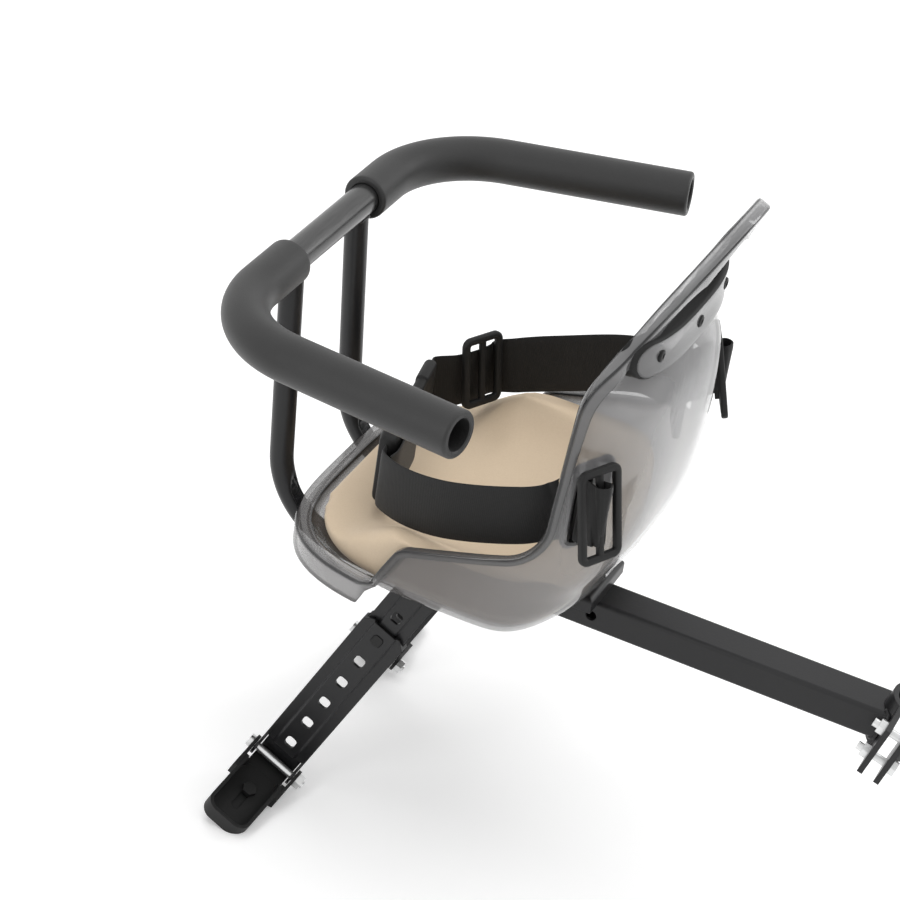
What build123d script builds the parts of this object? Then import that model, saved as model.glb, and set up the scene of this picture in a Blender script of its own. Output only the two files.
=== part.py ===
from build123d import *
import math
import os

# Child seat for a bicycle, carried on the seat post by a clamp and a beam.
# Millimetres. X points forward, Y to the rider's left, Z up.
# The origin lies on the seat post axis at the height of the beam's centre line.

# Seat post clamp
post_diameter = 27.2
post_lean = 16.0
clamp_plate = 4.0
clamp_height = 42.0
clamp_gap = 9.0
flange_end = 46.0
clamp_bolt_offset = 33.0
clamp_bolt_pitch = 24.0
clamp_bolt_diameter = 6.0
clamp_bolt_tail = 9.0
clamp_bolt_head = 10.0
clamp_bolt_head_height = 4.5
clamp_nut_height = 5.0

# Main beam and the weldment under the seat
beam_width = 30.0
beam_height = 24.0
beam_wall = 2.0
beam_corner = 3.0
beam_hole_diameter = 8.0
beam_hole_x = 226.5
cross_tube_x = 338.0
cross_tube_depth = 25.0
cross_tube_wall = 2.0
plate_thickness = 3.0
plate_rear_x = 223.0
plate_front_x = 388.0
plate_half_width = 30.0
plate_bend_radius = 4.0
plate_screw_inset = 20.0

# Front edge of the bucket, which the handrail and the uprights stand ahead of
shell_front_x = 434.0

# Handrail
rail_diameter = 22.0
rail_wall = 1.6
rail_lead = 36.5
rail_front_x = shell_front_x + rail_lead
rail_front_z = 214.5
rail_corner_y = 157.0
rail_end_x = 277.0
rail_end_y = 195.5
rail_end_z = 227.0
rail_bend_radius = 76.0
foam_diameter = 32.5
foam_overhang = 14.0
foam_left_start = 41.0
foam_right_start = 59.0
fit_gap = 0.1

# Uprights
upright_diameter = 17.0
upright_wall = 1.5
upright_top_y = 48.0
upright_lead = 22.0
upright_foot_x = shell_front_x + upright_lead
upright_foot_y = 53.5
upright_foot_z = 12.0
upright_rear_z = 2.0
upright_bend_radius = 62.0
notch_gap = 1.2

# Bucket shell
shell_wall = 3.0
shell_floor_z = 23.5
bilge_radius = 30.0
widest_x = 290.0
half_width = 124.0
shell_back_x = 205.0
front_power = 3.6
back_power = 3.0
plan_points = 32
rim_bead = 2.5
rim_bead_height = 5.0
lip_z = 40.0
lip_depth = 19.0
lip_reach_front = 6.0
lip_reach_side = 4.0
lip_end_x = 352.0
step_top_x = 334.0
step_top_z = 75.5
hip_corner_x = 239.0
hip_corner_z = 104.0
wing_top_x = 234.0
wing_top_z = 225.0
crown_x = 177.0
crown_z = 333.0
crown_climb = 10.0
lip_end_radius = 6.0
step_radius = 16.0
hip_radius = 32.0
wing_radius = 60.0
crown_radius = 8.0
outline_margin = 60.0
pad_z = 247.0
pad_height = 28.0
pad_half_length = 92.0
pad_rise = 9.0
screw_spacing = 57.5
screw_diameter = 5.0
screw_head_diameter = 9.0
screw_head_height = 2.4
screw_sink = 1.4
screw_length = 12.0
slot_x = 222.0
slot_y = 101.5
slot_z = 141.0
slot_width = 9.0
slot_height = 66.0
slot_corner = 3.0

# Cushion
cushion_gap = 0.4
cushion_z = 52.0
cushion_dish_radius = 300.0
cushion_wing_x = 352.0
cushion_wing_rise = 20.0
cushion_wing_root = 10.0
cushion_screw_room = 1.0

# Belt
web_width = 44.0
web_thickness = 2.0
slider_bar = 5.5
slider_height = 66.0
slider_width = 36.0
slider_thickness = 5.0
slider_corner = 5.0
web_gap = 0.5
outer_slider_x = 205.5
outer_slider_y = 110.0
outer_slider_z = 145.0
outer_slider_yaw = 65.0
outer_slider_tilt = 14.0
inner_slider_x = 223.0
inner_slider_y = 85.0
inner_slider_z = 138.0
inner_slider_yaw = 65.0
front_slider_x = 375.0
front_slider_y = -80.0
front_slider_z = 101.0
front_slider_yaw = 65.0
front_slider_height = 55.0
socket_length = 64.0
plug_length = 52.0
plug_inset = 3.0
buckle_height = 58.0
buckle_thickness = 14.0
buckle_corner = 4.0
buckle_x = 376.5
buckle_y = 66.0
buckle_z = 89.0
buckle_yaw = 10.5
buckle_lead = 8.0
# Centre line of each side's webbing between the shell's slot and the buckle
left_web_run = [(226.5, 91.5, 140.0), (239.0, 91.5, 137.0), (262.0, 99.0, 126.0), (312.0, 101.0, 103.0),
                (346.0, 92.0, 93.0), (366.0, 82.0, 90.5)]
right_web_run = [(226.5, -91.5, 139.0), (239.0, -91.5, 136.0), (262.0, -99.5, 130.0), (318.0, -104.5, 111.0),
                 (352.0, -104.0, 103.5), (372.0, -98.5, 100.5), (379.8, -82.5, 98.0), (389.5, -67.0, 93.0)]

# Footrests
leg_lean = 25.3
leg_y = 77.0
leg_sheet = 2.2
leg_width = 36.4
leg_flange = 8.0
leg_length = 162.0
leg_web_start = 9.0
leg_rib_width = 18.0
leg_rib_height = 2.0
leg_rib_run = 1.5
leg_chamfer = 6.0
leg_top_x = 352.268
leg_top_z = -30.0386
bracket_below = 28.0
bracket_above = 47.0
bracket_flange_above = 12.0
bracket_clearance = 0.3
hinge_x = leg_top_x + leg_length * math.sin(math.radians(leg_lean))
hinge_z = leg_top_z - leg_length * math.cos(math.radians(leg_lean))
hole_pitch = 26.0
hole_size = 8.0
hole_corner = 2.5
hole_stretch = 1.5
top_hole_inset = 12.0
hole_count = 6
ear_radius = 7.0
ear_neck = 0.5
pin_diameter = 6.0
pin_offset = 7.0
pin_clearance = 0.05
pin_head_diameter = 10.0
pin_head_height = 3.5
nut_height = 5.0
nut_width = 10.0
pin_tail = 1.5
leg_bolt_head = 13.0
leg_bolt_head_height = 5.5
leg_bolt_slack = 0.4
leg_bolt_proud = 0.5
pedal_end = 70.0
pedal_wall = 2.5
pedal_width = 36.0
pedal_corner = 10.0
pedal_droop = 8.0
pedal_floor_drop = 9.0
pedal_rise = 4.0
pedal_root = 11.0
pedal_ear_root = 14.5
pedal_ear_end = 28.0
pedal_slot_start = 27.0
pedal_slot_length = 24.0
pedal_slot_width = 6.5
pedal_screw_diameter = 6.0
pedal_screw_head_height = 4.0
pedal_screw_tail = 7.0
pedal_screw_gap = 1.0

os.makedirs("parts", exist_ok=True)


# Small helpers

def save(shape, name):
    export_step(shape, "parts/" + name + ".step")


def mirrored(shape):
    return shape.mirror(Plane.XZ)


def rounded_outline(corners):
    """Closed outline through (x, y, radius) corners."""
    edges = []
    ends = []
    count = len(corners)
    for index, (x, y, radius) in enumerate(corners):
        here = Vector(x, y)
        before = Vector(*corners[index - 1][:2]) - here
        after = Vector(*corners[(index + 1) % count][:2]) - here
        if radius == 0:
            ends.append((here, here))
            continue
        half = math.radians(before.get_angle(after)) / 2
        reach = radius / math.tan(half)
        start = here + before.normalized() * reach
        stop = here + after.normalized() * reach
        middle = here + (before.normalized() + after.normalized()).normalized() * (
            radius / math.sin(half) - radius)
        edges.append(ThreePointArc(start, middle, stop))
        ends.append((start, stop))
    for index in range(count):
        start = ends[index][1]
        stop = ends[(index + 1) % count][0]
        if (stop - start).length > 1e-6:
            edges.append(Line(start, stop))
    return make_face(edges)


def tube_along(path, outer, inner):
    plane = Plane(origin=path @ 0, z_dir=path % 0)
    skin = sweep(plane * Circle(outer), path=path)
    if inner <= 0:
        return skin
    return skin - sweep(plane * Circle(inner), path=path)


def hex_prism(across, height):
    return extrude(RegularPolygon(across / 2, 6, major_radius=False), height)


# Main beam, cross tube and seat plate

post_radius = post_diameter / 2
clamp_outer = post_radius + clamp_plate
cross_rear_x = cross_tube_x - cross_tube_depth / 2
cross_front_x = cross_tube_x + cross_tube_depth / 2
beam_top = beam_height / 2


def box_tube(width, height, wall, corner, length):
    outer = RectangleRounded(width, height, corner)
    inner = RectangleRounded(width - 2 * wall, height - 2 * wall, corner - wall / 2)
    return extrude(outer - inner, length)


def make_beam():
    along_x = Plane(origin=(0, 0, 0), x_dir=(0, 1, 0), z_dir=(1, 0, 0))
    beam = along_x * box_tube(beam_width, beam_height, beam_wall, beam_corner, cross_rear_x)
    beam -= clamp_frame() * Cylinder(clamp_outer, 4 * clamp_height)
    hole = Plane(origin=(beam_hole_x, -beam_width, 0), z_dir=(0, 1, 0)) * Cylinder(
        beam_hole_diameter / 2, 2 * beam_width, align=(Align.CENTER, Align.CENTER, Align.MIN))
    return beam - hole


def make_cross_tube():
    end_y = leg_y + bracket_face() - leg_sheet
    sideways = Plane(origin=(cross_tube_x, -end_y, 0), x_dir=(1, 0, 0), z_dir=(0, 1, 0))
    return sideways * box_tube(cross_tube_depth, beam_height, cross_tube_wall, beam_corner, 2 * end_y)


def make_seat_plate():
    length = plate_front_x - plate_rear_x
    height = shell_floor_z - beam_top
    centre = Pos((plate_rear_x + plate_front_x) / 2, 0, beam_top)
    low = (Align.CENTER, Align.CENTER, Align.MIN)
    tray = Box(length, 2 * plate_half_width, height, align=low)
    tray = fillet(tray.edges().group_by(Axis.Z)[-1], plate_bend_radius)
    hollow = Box(length - 2 * plate_thickness, 2 * (plate_half_width - plate_thickness),
                 height - plate_thickness, align=low)
    plate = centre * (tray - hollow)
    for x, y in plate_screw_places():
        plate -= Pos(x, y, beam_top) * Cylinder(screw_diameter / 2 + fit_gap, height, align=low)
    return plate


def plate_screw_places():
    side = plate_half_width - plate_thickness - screw_head_diameter / 2
    return [(x, y) for x in (plate_rear_x + plate_screw_inset, plate_front_x - plate_screw_inset)
            for y in (-side, side)]


# Seat post clamp

def clamp_frame():
    lean = math.radians(post_lean)
    return Plane(origin=(0, 0, 0), x_dir=(math.cos(lean), 0, math.sin(lean)),
                 z_dir=(-math.sin(lean), 0, math.cos(lean)))


def make_clamp_half(side):
    ring = Circle(clamp_outer) - Circle(post_radius)
    keep = Pos(side * (clamp_gap / 2 + clamp_outer), 0) * Rectangle(2 * clamp_outer, 4 * clamp_outer)
    half = ring & keep
    root = post_radius + clamp_plate / 2
    for sign in (-1, 1):
        flange = Pos(side * (clamp_gap + clamp_plate) / 2, sign * (root + flange_end) / 2) * Rectangle(
            clamp_plate, flange_end - root)
        half += flange
    half -= Circle(post_radius)
    body = extrude(half, clamp_height / 2, both=True)
    for y, z in clamp_bolt_places():
        body -= Plane(origin=(0, y, z), z_dir=(1, 0, 0)) * Cylinder(
            clamp_bolt_diameter / 2 + fit_gap, 4 * clamp_outer)
    return clamp_frame() * body


def clamp_bolt_places():
    return [(y, z) for y in (-clamp_bolt_offset, clamp_bolt_offset)
            for z in (-clamp_bolt_pitch / 2, clamp_bolt_pitch / 2)]


def make_clamp_bolts():
    grip = clamp_gap / 2 + clamp_plate
    bolts = []
    for y, z in clamp_bolt_places():
        plane = Plane(origin=(-grip, y, z), z_dir=(1, 0, 0))
        shank = Cylinder(clamp_bolt_diameter / 2, 2 * grip + clamp_bolt_tail,
                         align=(Align.CENTER, Align.CENTER, Align.MIN))
        head = Pos(0, 0, -clamp_bolt_head_height) * hex_prism(clamp_bolt_head, clamp_bolt_head_height)
        bolts.append(clamp_frame() * (plane * (shank + head)))
    return Compound(bolts)


def make_clamp_nuts():
    grip = clamp_gap / 2 + clamp_plate
    nuts = []
    for y, z in clamp_bolt_places():
        plane = Plane(origin=(grip, y, z), z_dir=(1, 0, 0))
        nut = hex_prism(clamp_bolt_head, clamp_nut_height)
        nut -= Cylinder(clamp_bolt_diameter / 2 + fit_gap, 4 * clamp_nut_height)
        nuts.append(clamp_frame() * (plane * nut))
    return Compound(nuts)


# Handrail, foam grips and uprights

def rail_path(end_length):
    """Half of the U seen from above, from the middle of the front to the left end."""
    corner = Vector(rail_front_x, rail_corner_y, rail_front_z)
    end = Vector(rail_end_x, rail_end_y, rail_end_z)
    tail = corner + (end - corner).normalized() * end_length
    return corner, tail


def bent_line(points, radius):
    return FilletPolyline(*points, radius=radius)


def arm_length():
    corner = Vector(rail_front_x, rail_corner_y, rail_front_z)
    return (Vector(rail_end_x, rail_end_y, rail_end_z) - corner).length


def make_handrail():
    corner, tail = rail_path(arm_length() - foam_overhang)
    points = [tail, corner, Vector(corner.X, -corner.Y, corner.Z), Vector(tail.X, -tail.Y, tail.Z)]
    path = bent_line(points, rail_bend_radius)
    return tube_along(path, rail_diameter / 2, rail_diameter / 2 - rail_wall)


def make_foam(start_y):
    corner, tail = rail_path(arm_length())
    points = [Vector(corner.X, start_y, corner.Z), corner, tail]
    path = bent_line(points, rail_bend_radius)
    sleeve = tube_along(path, foam_diameter / 2, rail_diameter / 2 + fit_gap)
    return sleeve - tube_along(upright_path(), upright_diameter / 2 + fit_gap, 0)


def upright_path():
    top = Vector(rail_front_x, upright_top_y, rail_front_z)
    foot = Vector(upright_foot_x, upright_foot_y, upright_foot_z)
    rear = Vector(cross_front_x, upright_foot_y, upright_rear_z)
    return bent_line([top, foot, rear], upright_bend_radius)


def make_upright():
    tube = tube_along(upright_path(), upright_diameter / 2, upright_diameter / 2 - upright_wall)
    bar = Plane(origin=(rail_front_x, 0, rail_front_z), z_dir=(0, 1, 0)) * Cylinder(
        rail_diameter / 2, 4 * upright_top_y)
    behind = Box(cross_tube_depth, 4 * upright_foot_y, 4 * beam_height,
                 align=(Align.MAX, Align.CENTER, Align.CENTER))
    return tube - bar - Pos(cross_front_x, 0, 0) * behind


# Bucket shell

# Height, how far the back has moved rearward, how far each side has drawn in
upper_levels = [
    (62.0, 0.0, 1.0),
    (90.0, 9.0, 3.0),
    (130.0, 15.0, 6.0),
    (190.0, 15.0, 10.0),
    (250.0, 6.0, 14.0),
    (280.0, 10.0, 17.0),
    (305.0, 16.0, 20.0),
    (340.0, 30.0, 22.0),
]


def plan_face(z, back, front, half):
    points = []
    for step in range(plan_points):
        turn = 2 * math.pi * step / plan_points
        along = math.cos(turn)
        across = math.sin(turn)
        power = 2 / (front_power if along > 0 else back_power)
        reach = front - widest_x if along > 0 else widest_x - back
        x = widest_x + math.copysign(abs(along) ** power, along) * reach
        y = math.copysign(abs(across) ** power, across) * half
        points.append((x, y, z))
    return make_face(Spline(*points, periodic=True))


def bucket(inset):
    """The bucket's full form, drawn in by the given amount."""
    radius = bilge_radius - inset
    centre_z = shell_floor_z + bilge_radius
    faces = []
    for turn in (0, 22, 44, 66):
        drop = radius * math.cos(math.radians(turn))
        pull = bilge_radius - radius * math.sin(math.radians(turn))
        faces.append(plan_face(centre_z - drop, shell_back_x + pull, shell_front_x - pull, half_width - pull))
    for z, sweep_back, draw_in in upper_levels:
        faces.append(plan_face(z, shell_back_x - sweep_back + inset, shell_front_x - inset,
                               half_width - draw_in - inset))
    return loft(faces)


def side_outline():
    """The shell seen from the side, closed below and behind."""
    low = 0.0
    far_front = shell_front_x + outline_margin
    far_back = crown_x - outline_margin
    return rounded_outline([
        (far_front, low, 0), (far_front, lip_z, 0), (lip_end_x, lip_z, lip_end_radius),
        (step_top_x, step_top_z, step_radius), (hip_corner_x, hip_corner_z, hip_radius),
        (wing_top_x, wing_top_z, wing_radius), (crown_x, crown_z, crown_radius),
        (far_back, crown_z + crown_climb, 0), (far_back, low, 0)])


def along_y(face, reach):
    upright = Plane(origin=(0, 0, 0), x_dir=(1, 0, 0), z_dir=(0, -1, 0))
    return extrude(upright * face, reach, both=True)


def across_y(face, back_x, front_x):
    """A face drawn in Y and Z, run forward from back_x to front_x."""
    plane = Plane(origin=(back_x, 0, 0), x_dir=(0, 1, 0), z_dir=(1, 0, 0))
    return extrude(plane * face, front_x - back_x)


def make_lip(inner):
    """Front lip: a flat rim that turns down to a skirt."""
    top_z = lip_z - lip_depth
    front_x = shell_front_x + lip_reach_front
    side = half_width + lip_reach_side
    outer = plan_face(top_z, shell_back_x, front_x, side)
    under = plan_face(top_z, shell_back_x, front_x - shell_wall, side - shell_wall)
    lip = extrude(outer, lip_depth) - extrude(under, lip_depth - shell_wall)
    front = Pos(lip_end_x, 0, 0) * Box(shell_front_x, 4 * half_width, 4 * lip_z,
                                       align=(Align.MIN, Align.CENTER, Align.CENTER))
    notch = tube_along(upright_path(), upright_diameter / 2 + notch_gap, 0)
    return (lip & front) - inner - notch - mirrored(notch)


def make_shell():
    outer = bucket(0)
    inner = bucket(shell_wall)
    outline = side_outline()
    keep = along_y(outline, 2 * half_width)
    wall = (outer - inner) & keep
    band = along_y(outline - offset(outline, -rim_bead_height), 2 * half_width)
    bead = (bucket(-rim_bead) - inner) & band
    pad_form = Pos(0, pad_z) * SlotOverall(2 * pad_half_length, pad_height)
    pocket_form = Pos(0, pad_z) * SlotOverall(
        2 * (pad_half_length - shell_wall), pad_height - 2 * shell_wall)
    far_back = crown_x - outline_margin
    pad = (across_y(pad_form, far_back, widest_x) & (Pos(-pad_rise, 0, 0) * outer)) - inner
    pocket = across_y(pocket_form, far_back, widest_x) & (Pos(shell_wall - pad_rise, 0, 0) * outer)
    shell = wall + bead + make_lip(inner) + pad - pocket
    for y in (-screw_spacing, 0, screw_spacing):
        seat = Plane(origin=(pad_face_x(y) + screw_sink, y, pad_z), z_dir=(-1, 0, 0))
        shell -= seat * Cylinder(screw_diameter / 2 + fit_gap, 4 * screw_length)
        shell -= seat * Cylinder(screw_head_diameter / 2 + fit_gap, 4 * screw_length,
                                 align=(Align.CENTER, Align.CENTER, Align.MIN))
    slot = Box(slot_width, half_width, slot_height, align=(Align.CENTER, Align.MIN, Align.CENTER))
    slot = Pos(slot_x, half_width / 2, slot_z) * fillet(slot.edges().filter_by(Axis.Y), slot_corner)
    shell = shell - slot - mirrored(slot)
    for x, y in plate_screw_places():
        shell -= Pos(x, y, shell_floor_z) * Cylinder(screw_diameter / 2 + fit_gap, 4 * shell_wall)
    return shell


def pad_face_x(y):
    """Rear face of the raised pad at the given place across the back."""
    low = [level for level in upper_levels if level[0] < pad_z][-1]
    high = [level for level in upper_levels if level[0] >= pad_z][0]
    part = (pad_z - low[0]) / (high[0] - low[0])
    back = shell_back_x - low[1] - (high[1] - low[1]) * part
    half = half_width - low[2] - (high[2] - low[2]) * part
    round_off = (1 - (abs(y) / half) ** back_power) ** (1 / back_power)
    return widest_x - (widest_x - back) * round_off - pad_rise


def screw(length):
    """Pan head screw, its head's underside at the origin and its shank pointing down."""
    head = Cylinder(screw_head_diameter / 2, screw_head_height,
                    align=(Align.CENTER, Align.CENTER, Align.MIN))
    head = fillet(head.edges().group_by(Axis.Z)[-1], screw_head_height / 2)
    return head + Cylinder(screw_diameter / 2, length, align=(Align.CENTER, Align.CENTER, Align.MAX))


def make_back_screws():
    places = [Plane(origin=(pad_face_x(y) + screw_sink, y, pad_z), z_dir=(-1, 0, 0))
              for y in (-screw_spacing, 0, screw_spacing)]
    return Compound([place * screw(screw_length) for place in places])


def make_plate_screws():
    top = shell_floor_z + shell_wall
    return Compound([Pos(x, y, top) * screw(screw_length) for x, y in plate_screw_places()])


# Cushion

def make_cushion():
    form = bucket(shell_wall + cushion_gap)
    reach = 4 * half_width
    slab = Box(reach, reach, 2 * cushion_z)
    pad = form & (Pos(widest_x, 0, 0) * slab)
    wing = along_y(rounded_outline([
        (0, 0, 0), (cushion_wing_x, 0, 0), (cushion_wing_x, cushion_z - cushion_wing_root, 0),
        (cushion_wing_x - cushion_wing_rise, step_top_z, 0), (0, step_top_z, 0)]), half_width)
    dish = Plane(origin=(widest_x, 0, cushion_z + cushion_dish_radius), z_dir=(1, 0, 0)) * Cylinder(
        cushion_dish_radius, reach)
    cushion = pad + ((form & wing) - dish)
    for x, y in plate_screw_places():
        cushion -= Pos(x, y, shell_floor_z) * Cylinder(
            screw_head_diameter / 2 + cushion_screw_room, 4 * shell_wall)
    return cushion


# Belt

def web_band(stations):
    """Flat webbing through the given centre points, standing on edge."""
    faces = []
    for index, place in enumerate(stations):
        here = Vector(*place)
        ahead = Vector(*stations[min(index + 1, len(stations) - 1)])
        behind = Vector(*stations[max(index - 1, 0)])
        run = (ahead - behind).normalized()
        plane = Plane(origin=here, x_dir=(-run.Y, run.X, 0), z_dir=run)
        faces.append(plane * Rectangle(web_thickness, web_width))
    return loft(faces, ruled=True)


def web_loop(points):
    """Webbing seen from above, folded over a slider bar."""
    path = Polyline(*points)
    return extrude(trace(path, web_thickness), web_width / 2, both=True)


def make_slider(height):
    """Three-bar slider standing on edge, its bars upright, its face towards +Y."""
    window = (slider_width - 3 * slider_bar) / 2
    plate = RectangleRounded(slider_width, height, slider_corner)
    for side in (-1, 1):
        plate -= Pos(side * (window + slider_bar) / 2, 0) * RectangleRounded(
            window, height - 2 * slider_bar, slider_corner / 2)
    return along_y(plate, slider_thickness / 2)


def slider_loop():
    """Webbing folded over the middle bar of a slider, entering from the front."""
    lift = slider_thickness / 2 + web_thickness / 2 + web_gap
    half_bar = slider_bar / 2 + web_thickness / 2 + web_gap
    return web_loop([(half_bar, -lift), (half_bar, lift), (-half_bar, lift), (-half_bar, -lift)])


def outer_slider_place():
    turned = Pos(outer_slider_x, outer_slider_y, outer_slider_z) * Rot(0, 0, outer_slider_yaw)
    return turned * Rot(outer_slider_tilt, 0, 0)


def inner_slider_place():
    return Pos(inner_slider_x, inner_slider_y, inner_slider_z) * Rot(0, 0, inner_slider_yaw)


def front_slider_place():
    return Pos(front_slider_x, front_slider_y, front_slider_z) * Rot(0, 0, front_slider_yaw)


def buckle_place():
    return Pos(buckle_x, buckle_y, buckle_z) * Rot(0, 0, buckle_yaw)


def make_buckle_socket():
    body = Box(buckle_thickness, socket_length, buckle_height,
               align=(Align.CENTER, Align.MAX, Align.CENTER))
    return fillet(body.edges().filter_by(Axis.Y), buckle_corner)


def make_buckle_plug():
    body = Box(buckle_thickness - plug_inset, plug_length, buckle_height - 2 * plug_inset,
               align=(Align.CENTER, Align.MAX, Align.CENTER))
    body = fillet(body.edges().filter_by(Axis.Y), buckle_corner)
    return Pos(0, -socket_length - fit_gap, 0) * body


def loop_root():
    lift = slider_thickness / 2 + web_thickness / 2 + web_gap
    half_bar = slider_bar / 2 + web_thickness / 2 + web_gap
    return (outer_slider_place() * Pos(half_bar, -lift, 0)).position


def along_buckle(distance):
    """A point on the buckle's centre line, counted from its left end."""
    place = (buckle_place() * Pos(0, -distance, 0)).position
    return (place.X, place.Y, place.Z)


def left_stations():
    root = loop_root()
    start = [(root.X, root.Y, root.Z), (slot_x, slot_y, slot_z)]
    return start + left_web_run + [along_buckle(-buckle_lead), along_buckle(-web_gap)]


def right_stations():
    root = loop_root()
    end = socket_length + plug_length + 2 * web_gap
    start = [(root.X, -root.Y, root.Z), (slot_x, -slot_y, slot_z)]
    return start + right_web_run + [along_buckle(end + buckle_lead), along_buckle(end)]


def make_left_strap():
    return web_band(left_stations()) + outer_slider_place() * slider_loop()


def make_right_strap():
    return web_band(right_stations()) + mirrored(outer_slider_place() * slider_loop())


# Footrests, drawn at the hinge pin: x along the pin, y outward, z up the leg

def leg_frame():
    lean = math.radians(leg_lean)
    return Plane(origin=(hinge_x, leg_y, hinge_z), x_dir=(math.cos(lean), 0, math.sin(lean)),
                 z_dir=(-math.sin(lean), 0, math.cos(lean)))


def ribbed_profile(width, flange, rib_width):
    """Pressed strip with a raised middle and turned-in edges, its face at y = 0."""
    half = width / 2
    inner = half - leg_sheet
    rib = rib_width / 2
    foot = rib + leg_rib_run
    under = leg_rib_height - leg_sheet
    return make_face(Polyline(
        (-half, 0), (-foot, 0), (-rib, leg_rib_height), (rib, leg_rib_height), (foot, 0), (half, 0),
        (half, -flange), (inner, -flange), (inner, -leg_sheet), (foot - 1, -leg_sheet), (rib - 1, under),
        (1 - rib, under), (1 - foot, -leg_sheet), (-inner, -leg_sheet), (-inner, -flange), (-half, -flange),
        close=True))


def hole_cutter(height):
    plane = Plane(origin=(0, 0, height), x_dir=(1, 0, 0), z_dir=(0, 1, 0))
    return extrude(plane * RectangleRounded(hole_size, hole_size + hole_stretch, hole_corner),
                   2 * leg_flange, both=True)


def hole_heights():
    top = leg_length - top_hole_inset
    return [top - hole_pitch * index for index in reversed(range(hole_count))]


def pin_along(radius, start, stop):
    plane = Plane(origin=(start, pin_offset, 0), z_dir=(1, 0, 0))
    return plane * Cylinder(radius, stop - start, align=(Align.CENTER, Align.CENTER, Align.MIN))


def make_leg():
    strip = ribbed_profile(leg_width, leg_flange, leg_rib_width)
    leg = Pos(0, 0, leg_web_start) * extrude(strip, leg_length - leg_web_start)
    ear = Pos(pin_offset, 0) * Circle(ear_radius)
    ear += make_face(Polyline(
        (-leg_flange, leg_web_start), (pin_offset, -ear_radius), (pin_offset + ear_radius, 0),
        (ear_neck, 1.5 * ear_radius), (0, 3 * leg_web_start), (-leg_flange, 3 * leg_web_start), close=True))
    side = Plane(origin=(leg_width / 2 - leg_sheet, 0, 0), x_dir=(0, 1, 0), z_dir=(1, 0, 0))
    right_ear = extrude(side * ear, leg_sheet)
    leg += right_ear + right_ear.mirror(Plane.YZ)
    for height in hole_heights():
        leg -= hole_cutter(height)
    for side in (-1, 1):
        edge = side * leg_width / 2
        corner = make_face(Polyline((edge, leg_length), (edge, leg_length - leg_chamfer),
                                    (edge - side * leg_chamfer, leg_length), close=True))
        leg -= along_y(corner, 4 * leg_flange)
    return leg - pin_along(pin_diameter / 2 + pin_clearance, -leg_width, leg_width)


def bracket_width():
    return leg_width - 2 * leg_sheet - 2 * bracket_clearance


def bracket_face():
    return -leg_sheet - bracket_clearance


def make_bracket():
    rib_width = leg_rib_width - 2 * leg_sheet - 2 * bracket_clearance
    strip = extrude(ribbed_profile(bracket_width(), leg_flange, rib_width), bracket_below + bracket_above)
    bracket = Pos(0, bracket_face(), leg_length - bracket_below) * strip
    room = Box(2 * leg_width, 4 * leg_flange, leg_length, align=(Align.CENTER, Align.MAX, Align.MIN))
    bracket -= Pos(0, bracket_face() - leg_sheet, leg_length + bracket_flange_above) * room
    for height in hole_heights()[-1:] + [hole_heights()[-1] + hole_pitch]:
        bracket -= hole_cutter(height)
    return bracket


def make_leg_bolt():
    height = hole_heights()[-1]
    proud = leg_rib_height + leg_bolt_proud
    plane = Plane(origin=(0, proud, height), x_dir=(1, 0, 0), z_dir=(0, -1, 0))
    grip = proud - bracket_face() + leg_sheet
    width = hole_size - leg_bolt_slack
    neck = extrude(RectangleRounded(width, width + hole_stretch, hole_corner - leg_bolt_slack / 2), grip)
    head = Pos(0, 0, grip) * hex_prism(leg_bolt_head, leg_bolt_head_height)
    return plane * (neck + head)


def make_pedal():
    low = -pedal_floor_drop
    plan = Pos(0, (pedal_root + pedal_end) / 2) * RectangleRounded(
        pedal_width, pedal_end - pedal_root, pedal_corner)
    room = offset(plan, -pedal_wall)
    tray = extrude(Pos(0, 0, low) * plan, pedal_rise - low)
    tray -= extrude(Pos(0, 0, low + pedal_wall) * room, pedal_width)
    mouth = Box(pedal_width - 2 * pedal_wall, 4 * pedal_wall, pedal_width,
                align=(Align.CENTER, Align.CENTER, Align.MIN))
    tray -= Pos(0, pedal_root, low + pedal_wall) * mouth
    ear_inner = leg_width / 2 + bracket_clearance
    ear_outer = ear_inner + pedal_wall
    ear = Circle(ear_radius) + make_face(Polyline(
        (0, -ear_radius), (pedal_ear_end, low), (pedal_ear_end, pedal_rise), (0, ear_radius), close=True))
    side = Plane(origin=(ear_inner, 0, 0), x_dir=(0, 1, 0), z_dir=(1, 0, 0))
    cheek = extrude(side * ear, pedal_wall)
    inside = pedal_width / 2 - pedal_wall
    block = Box(ear_outer - inside, pedal_ear_end - pedal_ear_root, pedal_rise - low)
    along = (pedal_ear_root + pedal_ear_end) / 2
    cheek += Pos((inside + ear_outer) / 2, along, (low + pedal_rise) / 2) * block
    pedal = tray + cheek + cheek.mirror(Plane.YZ)
    slot = Pos(0, pedal_slot_start + pedal_slot_length / 2, low) * Rot(0, 0, 90) * extrude(
        SlotOverall(pedal_slot_length, pedal_slot_width), 4 * pedal_wall, both=True)
    pedal -= slot
    bore = Plane(origin=(-pedal_width, 0, 0), z_dir=(1, 0, 0)) * Cylinder(
        pin_diameter / 2 + pin_clearance, 4 * pedal_width)
    return pedal - bore


def at_pedal(shape):
    return leg_frame() * (Pos(0, pin_offset, 0) * (Rot(-pedal_droop, 0, 0) * shape))


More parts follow.
